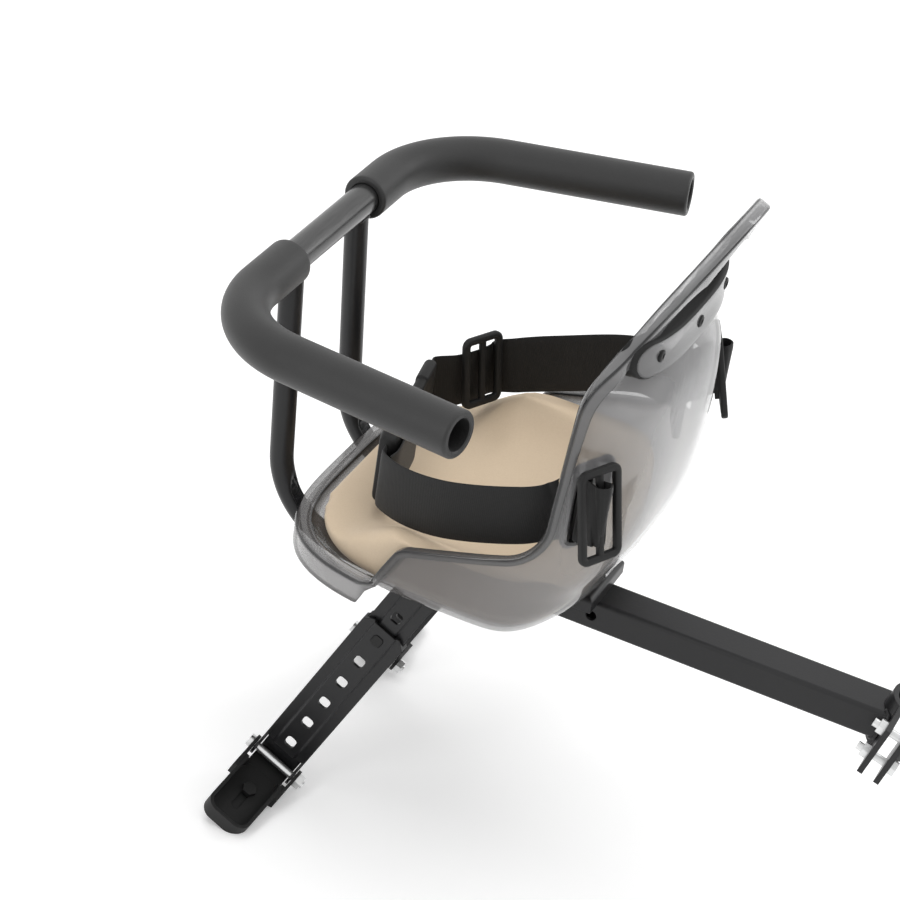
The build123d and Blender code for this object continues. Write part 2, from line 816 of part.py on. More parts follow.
def make_pedal_screw():
    low = -pedal_floor_drop
    place = Pos(0, pedal_slot_start + pedal_slot_width / 2 + pedal_screw_gap, 0)
    head = Pos(0, 0, low + pedal_wall) * hex_prism(nut_width, pedal_screw_head_height)
    shank = Cylinder(pedal_screw_diameter / 2, pedal_screw_tail + pedal_wall,
                     align=(Align.CENTER, Align.CENTER, Align.MIN))
    shank = Pos(0, 0, low - pedal_screw_tail) * shank
    nut = Pos(0, 0, low - nut_height) * hex_prism(nut_width, nut_height)
    return place * (head + shank + nut)


def make_hinge_pin():
    grip = leg_width / 2 + bracket_clearance + pedal_wall
    pin = pin_along(pin_diameter / 2, -grip - nut_height - pin_tail, grip)
    pin += pin_along(pin_head_diameter / 2, grip, grip + pin_head_height)
    return leg_frame() * pin


def make_hinge_nut():
    grip = leg_width / 2 + bracket_clearance + pedal_wall
    plane = Plane(origin=(-grip - nut_height, pin_offset, 0), z_dir=(1, 0, 0))
    nut = plane * hex_prism(nut_width, nut_height)
    return leg_frame() * (nut - pin_along(pin_diameter / 2, -2 * leg_width, 2 * leg_width))


save(make_beam(), "main_beam")
save(make_cross_tube(), "cross_tube")
save(make_seat_plate(), "seat_plate")
save(make_clamp_half(1), "clamp_front_half")
save(make_clamp_half(-1), "clamp_rear_half")
save(make_clamp_bolts(), "clamp_bolts")
save(make_clamp_nuts(), "clamp_nuts")
save(make_handrail(), "handrail")
save(make_foam(foam_left_start), "foam_grip_left")
save(mirrored(make_foam(foam_right_start)), "foam_grip_right")
save(make_shell(), "seat_shell")
save(make_back_screws(), "back_screws")
save(make_plate_screws(), "plate_screws")
save(make_cushion(), "seat_cushion")
save(make_left_strap(), "strap_left")
save(make_right_strap(), "strap_right")
save(front_slider_place() * make_slider(front_slider_height), "front_slider")
save(buckle_place() * make_buckle_socket(), "buckle_socket")
save(buckle_place() * make_buckle_plug(), "buckle_plug")
pairs = {
    "upright": make_upright(),
    "outer_slider": outer_slider_place() * make_slider(slider_height),
    "inner_slider": inner_slider_place() * make_slider(slider_height),
    "footrest_bracket": leg_frame() * make_bracket(),
    "footrest_leg": leg_frame() * make_leg(),
    "leg_bolt": leg_frame() * make_leg_bolt(),
    "hinge_pin": make_hinge_pin(),
    "hinge_nut": make_hinge_nut(),
    "footrest_pedal": at_pedal(make_pedal()),
    "pedal_screw": at_pedal(make_pedal_screw()),
}
for name, shape in pairs.items():
    save(shape, name + "_left")
    save(mirrored(shape), name + "_right")
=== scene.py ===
import bpy
import bmesh
import math
import numpy as np
from mathutils import Matrix, Vector


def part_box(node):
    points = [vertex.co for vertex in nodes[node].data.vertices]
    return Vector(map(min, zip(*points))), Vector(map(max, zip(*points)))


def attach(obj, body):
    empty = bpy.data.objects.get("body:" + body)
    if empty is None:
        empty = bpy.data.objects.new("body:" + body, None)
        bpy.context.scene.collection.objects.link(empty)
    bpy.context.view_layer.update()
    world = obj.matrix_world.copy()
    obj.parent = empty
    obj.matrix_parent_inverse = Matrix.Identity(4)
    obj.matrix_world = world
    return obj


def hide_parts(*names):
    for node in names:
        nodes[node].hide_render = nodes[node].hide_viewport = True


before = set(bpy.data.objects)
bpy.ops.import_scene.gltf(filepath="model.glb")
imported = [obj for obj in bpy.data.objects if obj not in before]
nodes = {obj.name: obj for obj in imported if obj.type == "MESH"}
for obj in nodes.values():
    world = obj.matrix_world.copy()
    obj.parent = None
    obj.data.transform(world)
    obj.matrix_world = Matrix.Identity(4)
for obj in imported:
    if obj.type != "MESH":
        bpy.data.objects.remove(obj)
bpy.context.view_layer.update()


# shader sums

class Wire:  # a shader socket that can stand in a Python sum
    def __init__(self, paint, socket):
        self.paint = paint
        self.socket = socket

    def sum(self, operation, other, turned=False):
        first, second = (other, self) if turned else (self, other)
        return self.paint.node("Math", {"operation": operation}, {0: first, 1: second})

    def __add__(self, other):
        return self.sum("ADD", other)

    def __radd__(self, other):
        return self.sum("ADD", other, True)

    def __sub__(self, other):
        return self.sum("SUBTRACT", other)

    def __rsub__(self, other):
        return self.sum("SUBTRACT", other, True)

    def __mul__(self, other):
        return self.sum("MULTIPLY", other)

    def __rmul__(self, other):
        return self.sum("MULTIPLY", other, True)


class Paint:  # one material, or the world, and the nodes that feed its shader
    def __init__(self, name, world=False, **fixed):
        self.owner = (bpy.data.worlds if world else bpy.data.materials).new(name)
        self.owner.use_nodes = True
        self.tree = self.owner.node_tree
        self.shader = self.tree.nodes["Background" if world else "Principled BSDF"]
        for key, value in fixed.items():
            self.feed(key, value)

    def node(self, kind, settings, sockets, out=0):
        made = self.tree.nodes.new("ShaderNode" + kind)
        for key, value in settings.items():
            if key == "stops":
                while len(made.color_ramp.elements) < len(value):
                    made.color_ramp.elements.new(0.5)
                for element, (place, tone) in zip(made.color_ramp.elements, value):
                    element.position = place
                    element.color = grey(tone)
            else:
                setattr(made, key, value)
        for key, value in sockets.items():
            self.plug(made.inputs[key], value)
        return Wire(self, made.outputs[out])

    def plug(self, socket, value):
        if isinstance(value, Wire):
            self.tree.links.new(value.socket, socket)
        else:
            socket.default_value = value

    def feed(self, key, value):
        self.plug(self.shader.inputs[key.replace("_", " ")], value)

    def place(self):
        return self.node("TexCoord", {}, {}, "Object")

    def noise(self, scale, detail=3.0, where=None):
        return self.node("TexNoise", {}, {"Vector": where or self.place(), "Scale": scale, "Detail": detail})

    def tint(self, mask, first, second):
        return self.node("Mix", {"data_type": "RGBA"}, {0: mask, 6: first, 7: second}, 2)

    def ramp(self, value, stops):
        return self.node("ValToRGB", {"stops": stops}, {0: value})

    def relief(self, height, depth, strength=1.0, over=None):
        sockets = {"Height": height, "Distance": depth, "Strength": strength}
        if over:
            sockets["Normal"] = over
        self.feed("Normal", self.node("Bump", {}, sockets))

    def softEdges(self, radius):
        return self.node("Bevel", {"samples": 4}, {"Radius": radius})


def grey(level):
    return (level, level, level, 1)


# finishes, each with its tones, its roughness and the scale and depth of its texture

powder = {"dark": (0.011, 0.011, 0.012, 1), "light": (0.020, 0.020, 0.021, 1), "rough": 0.34, "peel": 620.0,
          "speck": 2600.0, "depth": 0.00012, "edge": 0.0011}


def makePowderCoat():
    paint = Paint("powder_coat", IOR=1.5, Specular_IOR_Level=0.34)
    cloud = paint.noise(18.0, 4.0)
    peel = paint.noise(powder["peel"], 2.0)
    speck = paint.noise(powder["speck"], 1.0)
    paint.feed("Base_Color", paint.tint(cloud, powder["dark"], powder["light"]))
    paint.feed("Roughness", powder["rough"] + (cloud - 0.5) * 0.18 + (speck - 0.5) * 0.10)
    paint.relief(peel + speck * 0.3, powder["depth"], 0.35, paint.softEdges(powder["edge"]))
    return paint.owner


satin = {"dark": 0.065, "light": 0.125, "metal": 0.75, "rough": 0.19, "streak": 900.0, "depth": 0.00004}


def makeRailMetal():
    paint = Paint("rail_satin", IOR=1.5)
    drawn = paint.node("Mapping", {}, {"Vector": paint.place(), "Scale": (1.0, 0.06, 1.0)})
    streak = paint.noise(satin["streak"], 4.0, drawn)
    cloud = paint.noise(30.0, 3.0)
    paint.feed("Metallic", satin["metal"] + (cloud - 0.5) * 0.2)
    paint.feed("Base_Color", paint.tint(streak, grey(satin["dark"]), grey(satin["light"])))
    paint.feed("Roughness", satin["rough"] + streak * 0.10)
    paint.relief(streak, satin["depth"], 0.4)
    return paint.owner


foam = {"dark": 0.018, "light": 0.031, "rough": 0.37, "cell": 1500.0, "fine": 1100.0, "depth": 0.00016}


def makeFoam():
    paint = Paint("foam_skin", IOR=1.45, Specular_IOR_Level=0.5, Sheen_Weight=0.04, Sheen_Roughness=0.5)
    cell = paint.node("TexVoronoi", {}, {"Vector": paint.place(), "Scale": foam["cell"]})
    cloud = paint.noise(38.0, 5.0)
    fine = paint.noise(foam["fine"], 3.0)
    paint.feed("Base_Color", paint.tint(cloud * 0.6 + fine * 0.4, grey(foam["dark"]), grey(foam["light"])))
    paint.feed("Roughness", foam["rough"] + fine * 0.16)
    paint.relief(cell + fine, foam["depth"], 0.45)
    return paint.owner


# painted light and shade: the back tone is lit from behind and lighter, the side tone is shaded and darker
smoke = {"side": (0.200, 0.190, 0.188, 1), "back": (0.42, 0.42, 0.425, 1), "edge": (0.010, 0.010, 0.011, 1),
         "sideCover": 0.52, "backCover": 0.54, "edgeCover": 0.92, "sideStart": 0.19, "sideRise": 9.0,
         "rough": 0.10, "coat": 0.85, "depth": 0.0005}


def makeSmokePlastic():
    paint = Paint("smoke_plastic", IOR=1.49, Coat_IOR=1.5, Coat_Roughness=0.03)
    # edge darkness, partly the thicker plastic at rims and bends and partly painted shade for their dark
    # lines; it also makes them more opaque
    edge = paint.node("Attribute", {"attribute_name": "edge"}, {}, "Fac")
    dark = edge.sum("MINIMUM", 1.0)
    cloud = paint.noise(9.0, 3.0)
    flow = paint.noise(55.0, 2.0)
    forward = paint.node("SeparateXYZ", {}, {0: paint.place()}, 0)
    # painted light and shade: going forward the wall turns from the lit back tone to the shaded side tone
    climb = (forward - smoke["sideStart"]) * smoke["sideRise"] + (cloud - 0.5) * 0.3
    flankShade = paint.ramp(climb, [(0.0, 0.0), (1.0, 1.0)])
    cover = smoke["backCover"] + flankShade * (smoke["sideCover"] - smoke["backCover"]) + (cloud - 0.5) * 0.05
    paint.feed("Base_Color", paint.tint(dark, paint.tint(flankShade, smoke["back"], smoke["side"]), smoke["edge"]))
    paint.feed("Alpha", cover + dark * (smoke["edgeCover"] - cover))
    paint.feed("Roughness", smoke["rough"] + flow * 0.05)
    paint.feed("Coat_Weight", smoke["coat"] - dark * 0.55 + (flow - 0.5) * 0.1)
    paint.relief(flow, smoke["depth"], 0.06)
    return paint.owner


leather = {"light": (0.78, 0.635, 0.465, 1), "shade": (0.66, 0.515, 0.36, 1), "rough": 0.44, "grain": 760.0,
           "pores": 1900.0, "depth": 0.00022}


def makeLeatherette():
    paint = Paint("leatherette", IOR=1.45, Sheen_Weight=0.08)
    cloud = paint.noise(14.0, 4.0)
    cells = {"Vector": paint.place(), "Scale": leather["grain"]}
    grain = paint.node("TexVoronoi", {"feature": "SMOOTH_F1"}, cells)
    pores = paint.noise(leather["pores"], 2.0)
    paint.feed("Base_Color", paint.tint(cloud * 0.7 + grain * 0.3, leather["light"], leather["shade"]))
    paint.feed("Roughness", leather["rough"] + grain * 0.20)
    paint.relief(grain + pores * 0.4, leather["depth"], 0.30)
    return paint.owner


weave = {"ribPitch": 1.5, "rowPitch": 1.05, "dark": 0.007, "light": 0.019, "rough": 0.52, "fuzz": 2400.0,
         "slub": 420.0, "depth": 0.0003}


def makeWebbing():
    paint = Paint("webbing", IOR=1.45, Specular_IOR_Level=0.35, Sheen_Weight=0.10, Sheen_Roughness=0.4)
    grid = paint.node("UVMap", {"uv_map": "weave"}, {})
    along = paint.node("SeparateXYZ", {}, {0: grid}, 0)
    across = paint.node("SeparateXYZ", {}, {0: grid}, 1)
    rib = ((along * (2 * math.pi / weave["ribPitch"])).sum("SINE", 0.0) + 1) * 0.5
    row = ((across * (2 * math.pi / weave["rowPitch"])).sum("SINE", 0.0) + 1) * 0.5
    fuzz = paint.noise(weave["fuzz"], 2.0)
    cloud = paint.noise(60.0, 4.0)
    slub = paint.noise(weave["slub"], 3.0)
    height = rib * row * 0.35 + rib * 0.15 + fuzz * 0.25 + slub * 0.5
    tone = height * 0.7 + cloud * 0.3
    paint.feed("Base_Color", paint.tint(tone, grey(weave["dark"]), grey(weave["light"])))
    paint.feed("Roughness", weave["rough"] + fuzz * 0.2)
    paint.relief(height, weave["depth"], 0.6)
    return paint.owner


moulded = {"dark": 0.007, "light": 0.014, "rough": 0.48, "spark": 1500.0, "depth": 0.00008, "edge": 0.0008}


def makeBlackPlastic():
    paint = Paint("black_plastic", IOR=1.5, Specular_IOR_Level=0.32)
    spark = paint.noise(moulded["spark"], 2.0)
    cloud = paint.noise(40.0, 3.0)
    paint.feed("Base_Color", paint.tint(cloud, grey(moulded["dark"]), grey(moulded["light"])))
    paint.feed("Roughness", moulded["rough"] + spark * 0.14 + (cloud - 0.5) * 0.1)
    paint.relief(spark, moulded["depth"], 0.4, paint.softEdges(moulded["edge"]))
    return paint.owner


plated = {"dark": (0.66, 0.67, 0.68, 1), "light": (0.80, 0.80, 0.79, 1), "metal": 0.95, "rough": 0.24,
          "fine": 2800.0, "depth": 0.00002, "edge": 0.0004}


def makeZinc():
    paint = Paint("zinc_plate", IOR=1.5)
    cloud = paint.noise(60.0, 3.0)
    fine = paint.noise(plated["fine"], 2.0)
    paint.feed("Metallic", plated["metal"] + (cloud - 0.5) * 0.1)
    paint.feed("Base_Color", paint.tint(cloud, plated["dark"], plated["light"]))
    paint.feed("Roughness", plated["rough"] + cloud * 0.10)
    paint.relief(fine, plated["depth"], 0.2, paint.softEdges(plated["edge"]))
    return paint.owner


finishes = {
    "painted_frame": makePowderCoat(),
    "rail_metal": makeRailMetal(),
    "foam": makeFoam(),
    "smoke_plastic": makeSmokePlastic(),
    "cushion_cover": makeLeatherette(),
    "webbing": makeWebbing(),
    "black_plastic": makeBlackPlastic(),
    "zinc": makeZinc(),
}
print("finishes:", len(finishes))


# mesh helpers, all in millimetres until a piece is made

def bareObject(name, points, faces):
    mesh = bpy.data.meshes.new(name)
    mesh.from_pydata((np.asarray(points) * 0.001).tolist(), [], [list(map(int, face)) for face in faces])
    work = bmesh.new()
    work.from_mesh(mesh)
    bmesh.ops.recalc_face_normals(work, faces=work.faces)
    work.to_mesh(mesh)
    work.free()
    made = bpy.data.objects.new(name, mesh)
    bpy.context.scene.collection.objects.link(made)
    return made


def makePiece(name, points, faces, slotName, replaced, body="seat", sharp=40.0, grid=None, edge=None):
    piece = bareObject(name, points, faces)
    mesh = piece.data
    if grid is not None:
        layer = mesh.uv_layers.new(name="weave")
        for loop in mesh.loops:
            layer.data[loop.index].uv = grid[loop.vertex_index]
    if edge is not None:
        mesh.attributes.new("edge", "FLOAT", "POINT").data.foreach_set("value", np.asarray(edge, np.float32))
    return dressPiece(piece, slotName, replaced, body, sharp)


def dressPiece(piece, slotName, replaced, body, sharp):
    piece.data.materials.clear()
    piece.data.materials.append(finishes[slotName])
    piece.data.shade_smooth()
    piece.data.set_sharp_from_angle(angle=math.radians(sharp))
    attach(piece, body)
    if replaced:
        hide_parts(*replaced)
    return piece


def workedMesh(piece):  # the mesh with its modifiers worked in
    return bpy.data.meshes.new_from_object(piece.evaluated_get(bpy.context.evaluated_depsgraph_get()))


def unit(vector):
    return vector / np.maximum(np.linalg.norm(vector, axis=-1, keepdims=True), 1e-9)


def ease(part):
    part = np.clip(part, 0, 1)
    return part * part * (3 - 2 * part)


def mirrorY(points):
    return np.asarray(points, float) * (1, -1, 1)


bothSides = (("left", np.asarray), ("right", mirrorY))


def marksOf(line):  # the distance along a line to each of its points
    return np.concatenate([[0], np.cumsum(np.linalg.norm(np.diff(line, axis=0), axis=1))])


def fullTurn(count):
    return np.linspace(0, 2 * math.pi, count, endpoint=False)


def circle(turn, first, second):  # unit circle in the plane of two vectors
    return np.cos(turn)[:, None] * first + np.sin(turn)[:, None] * second


def gridFaces(rows, columns, closeRows=False):
    faces = []
    for row in range(rows if closeRows else rows - 1):
        here = row * columns
        above = (row + 1) % rows * columns
        for column in range(columns):
            beside = (column + 1) % columns
            faces.append((here + column, here + beside, above + beside, above + column))
    return faces


def bentLine(points, radii, spacing=2.5):  # straight runs joined by arcs
    points = np.array(points, float)
    line = [points[0]]
    for index in range(1, len(points) - 1):
        radius = radii[index - 1]
        here = points[index]
        before = unit(points[index - 1] - here)
        after = unit(points[index + 1] - here)
        half = math.acos(np.clip(before @ after, -1, 1)) / 2
        reach = radius / math.tan(half)
        centre = here + unit(before + after) * radius / math.sin(half)
        start = here + before * reach - centre
        stop = here + after * reach - centre
        sweep = math.pi - 2 * half
        count = max(4, int(radius * sweep / spacing))
        for step in range(count + 1):
            part = step / count
            blend = (math.sin((1 - part) * sweep) * start + math.sin(part * sweep) * stop) / math.sin(sweep)
            line.append(centre + blend)
    line.append(points[-1])
    return np.array(line)


def splineLine(points, perSpan=14):  # smooth curve through every station
    points = np.array(points, float)
    padded = np.vstack([2 * points[0] - points[1], points, 2 * points[-1] - points[-2]])
    line = []
    for index in range(1, len(padded) - 2):
        p0, p1, p2, p3 = padded[index - 1:index + 3]
        t1 = np.linalg.norm(p1 - p0) ** 0.5
        t2 = t1 + np.linalg.norm(p2 - p1) ** 0.5
        t3 = t2 + np.linalg.norm(p3 - p2) ** 0.5
        for t in np.linspace(t1, t2, perSpan, endpoint=False):
            a1 = (t1 - t) / t1 * p0 + t / t1 * p1
            a2 = (t2 - t) / (t2 - t1) * p1 + (t - t1) / (t2 - t1) * p2
            a3 = (t3 - t) / (t3 - t2) * p2 + (t - t2) / (t3 - t2) * p3
            b1 = (t2 - t) / t2 * a1 + t / t2 * a2
            b2 = (t3 - t) / (t3 - t1) * a2 + (t - t1) / (t3 - t1) * a3
            line.append((t2 - t) / (t2 - t1) * b1 + (t - t1) / (t2 - t1) * b2)
    line.append(points[-1])
    return np.array(line)


class Run:  # a centre line with a steady frame along it
    def __init__(self, points, side=(0, 0, 1)):
        self.points = np.array(points, float)
        self.mark = marksOf(self.points)
        self.length = self.mark[-1]
        self.tangent = unit(np.gradient(self.points, self.mark, axis=0))
        turned = [np.array(side, float)]
        for tangent in self.tangent:
            last = turned[-1]
            turned.append(unit(last - tangent * (last @ tangent)))
        self.side = np.array(turned[1:])

    def pick(self, table, distance):
        return np.array([np.interp(distance, self.mark, table[:, axis]) for axis in range(3)])

    def at(self, distance):  # the centre and the two directions across the line
        tangent = unit(self.pick(self.tangent, distance))
        side = self.pick(self.side, distance)
        side = unit(side - tangent * (side @ tangent))
        return self.pick(self.points, distance), side, np.cross(tangent, side)


def pipeRows(start, stop, outer, inner, rounding, spacing=3.0):  # distances and radii once round a sleeve
    turn = np.linspace(0, math.pi / 2, 6)
    corner = [(rounding * (1 - math.cos(a)), outer - rounding * (1 - math.sin(a))) for a in turn]
    middle = np.arange(start + rounding + spacing, stop - rounding, spacing)
    bevel = min(0.8, (outer - inner) / 4)
    rows = [(start + step, radius) for step, radius in corner]
    rows += [(distance, outer) for distance in middle]
    rows += [(stop - step, radius) for step, radius in corner[::-1]]
    rows += [(stop, inner + bevel), (stop - bevel, inner)]
    rows += [(distance, inner) for distance in middle[::-2]]
    rows += [(start + bevel, inner), (start, inner + bevel)]
    return rows


def sleeve(run, rows, sides, squeeze=None):
    turn = fullTurn(sides)
    points = []
    for distance, radius in rows:
        centre, side, other = run.at(distance)
        across = np.cos(turn) * radius
        up = np.sin(turn) * radius
        if squeeze:
            across = squeeze(distance, across)
        points.append(centre + across[:, None] * side + up[:, None] * other)
    return np.vstack(points), gridFaces(len(rows), sides, closeRows=True)


def rings(sections, ends=None):  # a stack of equal rings with its two ends closed
    count = len(sections[0])
    ends = ends or [np.mean(sections[0], axis=0), np.mean(sections[-1], axis=0)]
    points = np.vstack(list(sections) + ends)
    faces = gridFaces(len(sections), count)
    low = len(points) - 2
    last = (len(sections) - 1) * count
    for index in range(count):
        after = (index + 1) % count
        faces.append((low, after, index))
        faces.append((low + 1, last + index, last + after))
    return points, faces


def joined(*shapes):
    points = []
    faces = []
    for shapePoints, shapeFaces in shapes:
        shift = sum(len(part) for part in points)
        faces += [[index + shift for index in face] for face in shapeFaces]
        points.append(np.asarray(shapePoints, float))
    return np.vstack(points), faces


def roundedRing(width, height, corner, steps=6):  # outline of a rounded rectangle
    outline = []
    corner = min(corner, width / 2 - 0.01, height / 2 - 0.01)
    for quarter, (sx, sy) in enumerate(((1, 1), (-1, 1), (-1, -1), (1, -1))):
        for step in range(steps + 1):
            turn = (quarter + step / steps) * math.pi / 2
            outline.append((sx * (width / 2 - corner) + corner * math.cos(turn),
                            sy * (height / 2 - corner) + corner * math.sin(turn)))
    return np.array(outline)


def placed(points, origin, yaw=0.0, tilt=0.0):
    turn = Matrix.Rotation(math.radians(yaw), 3, "Z") @ Matrix.Rotation(math.radians(tilt), 3, "X")
    return np.asarray(points, float) @ np.array(turn).T + np.array(origin, float)


bead = {"sides": 10, "ripple": 0.16, "ripplePitch": 1.25}


def weldBead(name, curve, normal, size):  # rippled bead round a closed curve
    curve = np.array(curve, float)
    tangent = unit(np.roll(curve, -1, axis=0) - np.roll(curve, 1, axis=0))
    out = unit(np.array(normal, float))
    side = np.cross(tangent, out)
    turn = fullTurn(bead["sides"])
    sections = []
    for index in range(len(curve)):
        radius = size * (1 + bead["ripple"] * math.sin(index * bead["ripplePitch"]))
        sections.append(curve[index] + circle(turn, out[index], side[index]) * radius)
    faces = gridFaces(len(curve), bead["sides"], closeRows=True)
    makePiece(name, np.vstack(sections), faces, "painted_frame", (), sharp=80)


# handrail, foam grips and uprights

rail = {"frontX": 470.5, "frontZ": 214.5, "cornerY": 157.0, "end": (277.0, 195.5, 227.0), "bend": 76.0,
        "radius": 11.0, "bore": 9.4, "rounding": 0.6, "overhang": 14.0, "sides": 48}


def armLine(startY):
    corner = (rail["frontX"], rail["cornerY"], rail["frontZ"])
    return bentLine([(rail["frontX"], startY, rail["frontZ"]), corner, rail["end"]], [rail["bend"]])


def makeRail():
    half = armLine(0.0)
    line = Run(np.vstack([mirrorY(half[:0:-1]), half]))
    stop = line.length - rail["overhang"]
    rows = pipeRows(rail["overhang"], stop, rail["radius"], rail["bore"], rail["rounding"])
    makePiece("handrail_tube", *sleeve(line, rows, rail["sides"]), "rail_metal", ["handrail"])


makeRail()

grip = {"radius": 16.25, "bore": 11.1, "rounding": 2.2, "starts": (52.0, 59.0), "sides": 64}


def makeGrips():
    for (side, flip), start in zip(bothSides, grip["starts"]):
        line = Run(armLine(start))
        rows = pipeRows(0.0, line.length, grip["radius"], grip["bore"], grip["rounding"])
        points, faces = sleeve(line, rows, grip["sides"])
        makePiece("foam_sleeve_" + side, flip(points), faces, "foam", ["foam_grip_" + side])


makeGrips()

upright = {"topY": 48.0, "foot": (456.0, 53.5, 12.0), "rear": (350.5, 53.5, 2.0), "bend": 62.0, "radius": 8.5,
           "bore": 7.0, "rounding": 0.4, "sunk": 2.0, "spacing": 1.5, "sides": 48, "flat": 0.42,
           "flatRun": 30.0, "flatGain": 1.8, "bead": 1.7, "beadSteps": 44}


def uprightRun():
    top = (rail["frontX"], upright["topY"], rail["frontZ"])
    line = bentLine([top, upright["foot"], upright["rear"]], [upright["bend"]], upright["spacing"])
    return Run(line, side=(-1, 0, 0))


def makeUprights():
    line = uprightRun()
    radius = upright["radius"]
    middle = line.mark[np.argmin(np.linalg.norm(line.points - upright["foot"], axis=1))]

    def pressFlat(distance, across):  # the inside of the bend is pressed flat
        press = max(0.0, 1 - abs(distance - middle) / upright["flatRun"])
        return np.minimum(across, radius * (1 - upright["flat"] * min(1.0, press * upright["flatGain"])))

    start = rail["radius"] - upright["sunk"]
    rows = pipeRows(start, line.length, radius, upright["bore"], upright["rounding"], upright["spacing"])
    points, faces = sleeve(line, rows, upright["sides"], pressFlat)
    rearX, rearY, rearZ = upright["rear"]
    saddle = []
    saddleOut = []
    foot = []
    footOut = []
    for a in fullTurn(upright["beadSteps"]):
        across = radius * math.cos(a)
        along = radius * math.sin(a)
        drop = math.sqrt(rail["radius"] ** 2 - across ** 2)
        saddle.append((rail["frontX"] + across, upright["topY"] + along, rail["frontZ"] - drop))
        saddleOut.append((math.cos(a), math.sin(a), -0.6))
        foot.append((rearX, rearY + across, rearZ + along))
        footOut.append((0.4, math.cos(a), math.sin(a)))
    for side, flip in bothSides:
        makePiece("upright_tube_" + side, flip(points), faces, "painted_frame", ["upright_" + side], sharp=25)
        weldBead("upright_top_weld_" + side, flip(saddle), flip(saddleOut), upright["bead"])
        weldBead("upright_foot_weld_" + side, flip(foot), flip(footOut), upright["bead"])


makeUprights()
print("rail, grips and uprights made")


# bucket shell: levels are (z, swept back, drawn in), the rolled edge is (z, share of its width, drop)
# and the shade is (z, darkness), painted shade that darkens the rim's lighter rows, most on the wings and
# least at the crown

shell = {"wall": 3.0, "floorZ": 23.5, "bilge": 30.0, "middleX": 315.0, "coreZ": 100.0, "widest": 290.0,
         "half": 124.0, "front": 434.0, "back": 205.0, "frontPower": 3.6, "backPower": 3.0, "lipZ": 40.0,
         "lipEnd": 352.0, "lipFade": 5.0, "crownZ": 336.0, "hipX": 250.0, "samples": 4001, "lipSteps": 160,
         "columnPitch": 2.6, "wallRows": 40, "floorRings": (0.12, 0.35, 0.6, 0.82),
         "levels": [(53.5, 0.0, 0.2), (62.0, 0.0, 1.0), (90.0, 9.0, 3.0), (130.0, 15.0, 6.0),
                    (190.0, 15.0, 10.0), (250.0, 6.0, 14.0), (280.0, 10.0, 17.0), (305.0, 16.0, 20.0),
                    (340.0, 30.0, 22.0)],
         "outline": [(352.0, 40.0), (334.0, 75.5), (239.0, 104.0), (234.0, 225.0)],
         "outlineRadii": [16.0, 32.0, 60.0],
         "rolledEdge": [(104.0, 0.44, 5.4), (160.0, 0.50, 6.4), (225.0, 0.66, 9.5), (290.0, 0.76, 12.0),
                        (336.0, 0.80, 26.0)],
         "shade": [(104.0, 0.42), (200.0, 0.34), (300.0, 0.05)],
         "skirt": 18.8, "turned": 4.0, "beadDepth": 7.0, "leastGirth": 4.0}
recess = {"depth": 8.0, "half": 100.0, "halfFade": 24.0, "low": 196.0, "lowFade": 38.0, "high": 306.0,
          "highFade": 42.0}
heel = {"pull": 13.0, "top": 82.0, "topFade": 50.0, "front": 275.0, "frontFade": 60.0}
quarterGirth = shell["bilge"] * math.pi / 2


def smoothTable(levels):
    table = np.array(levels)
    slope = np.gradient(table[:, 1:], table[:, 0], axis=0)

    def look(z):
        z = np.clip(z, table[0, 0], table[-1, 0])
        index = np.clip(np.searchsorted(table[:, 0], z, "right") - 1, 0, len(table) - 2)
        span = table[index + 1, 0] - table[index, 0]
        t = (z - table[index, 0]) / span
        t2, t3 = t * t, t * t * t
        values = []
        for column in (0, 1):
            a, b = table[index, column + 1], table[index + 1, column + 1]
            da, db = slope[index, column] * span, slope[index + 1, column] * span
            values.append(a * (2 * t3 - 3 * t2 + 1) + da * (t3 - 2 * t2 + t)
                          + b * (3 * t2 - 2 * t3) + db * (t3 - t2))
        return values
    return look


sweepAt = smoothTable(shell["levels"])


def planPoint(turn, z, back, front, half):
    along, across = np.cos(turn), np.sin(turn)
    ahead = along > 0
    power = 2 / np.where(ahead, shell["frontPower"], shell["backPower"])
    reach = np.where(ahead, front - shell["widest"], shell["widest"] - back)
    x = shell["widest"] + np.sign(along) * np.abs(along) ** power * reach
    y = np.sign(across) * np.abs(across) ** power * half
    return np.stack([x, y, z + 0 * x], axis=-1)


def makeTurnTable():  # even steps round half the plan, from the front to the back
    quarter = (1 - np.cos(np.linspace(0, math.pi, 3000))) / 4 * math.pi
    turn = np.concatenate([quarter, quarter[1:] + math.pi / 2])
    mark = marksOf(planPoint(turn, 0.0, shell["back"], shell["front"], shell["half"]))
    return mark / mark[-1], turn


evenMark, evenTurn = makeTurnTable()


def recessAt(y, z):  # the back is hollowed where the pad sits
    hollow = recess["depth"] * ease((recess["half"] - np.abs(y)) / recess["halfFade"])
    hollow = hollow * ease((z - recess["low"]) / recess["lowFade"])
    return hollow * ease((recess["high"] - z) / recess["highFade"])


def heelAt(x, z):  # the foot of the back is drawn in
    pull = heel["pull"] * ease((heel["top"] - z) / heel["topFade"])
    return pull * ease((heel["front"] - x) / heel["frontFade"])


def wallPoint(q, girth, inset):  # q runs round half the plan, girth runs up the wall from the flat floor
    turn = np.interp(q, evenMark, evenTurn)
    low = girth < quarterGirth
    bend = np.clip(girth / shell["bilge"], 0, math.pi / 2)
    radius = shell["bilge"] - inset
    centreZ = shell["floorZ"] + shell["bilge"]
    z = np.where(low, centreZ - radius * np.cos(bend), centreZ + girth - quarterGirth)
    sweepBack, drawIn = sweepAt(z)
    pull = np.where(low, shell["bilge"] - radius * np.sin(bend), inset)
    back = shell["back"] + pull - np.where(low, 0, sweepBack)
    half = shell["half"] - pull - np.where(low, 0, drawIn)
    points = planPoint(turn, z, back, shell["front"] - pull, half)
    x, y = points[..., 0], points[..., 1]
    points[..., 0] = x + heelAt(x, z) + recessAt(y, z) * (x < shell["widest"])
    return points


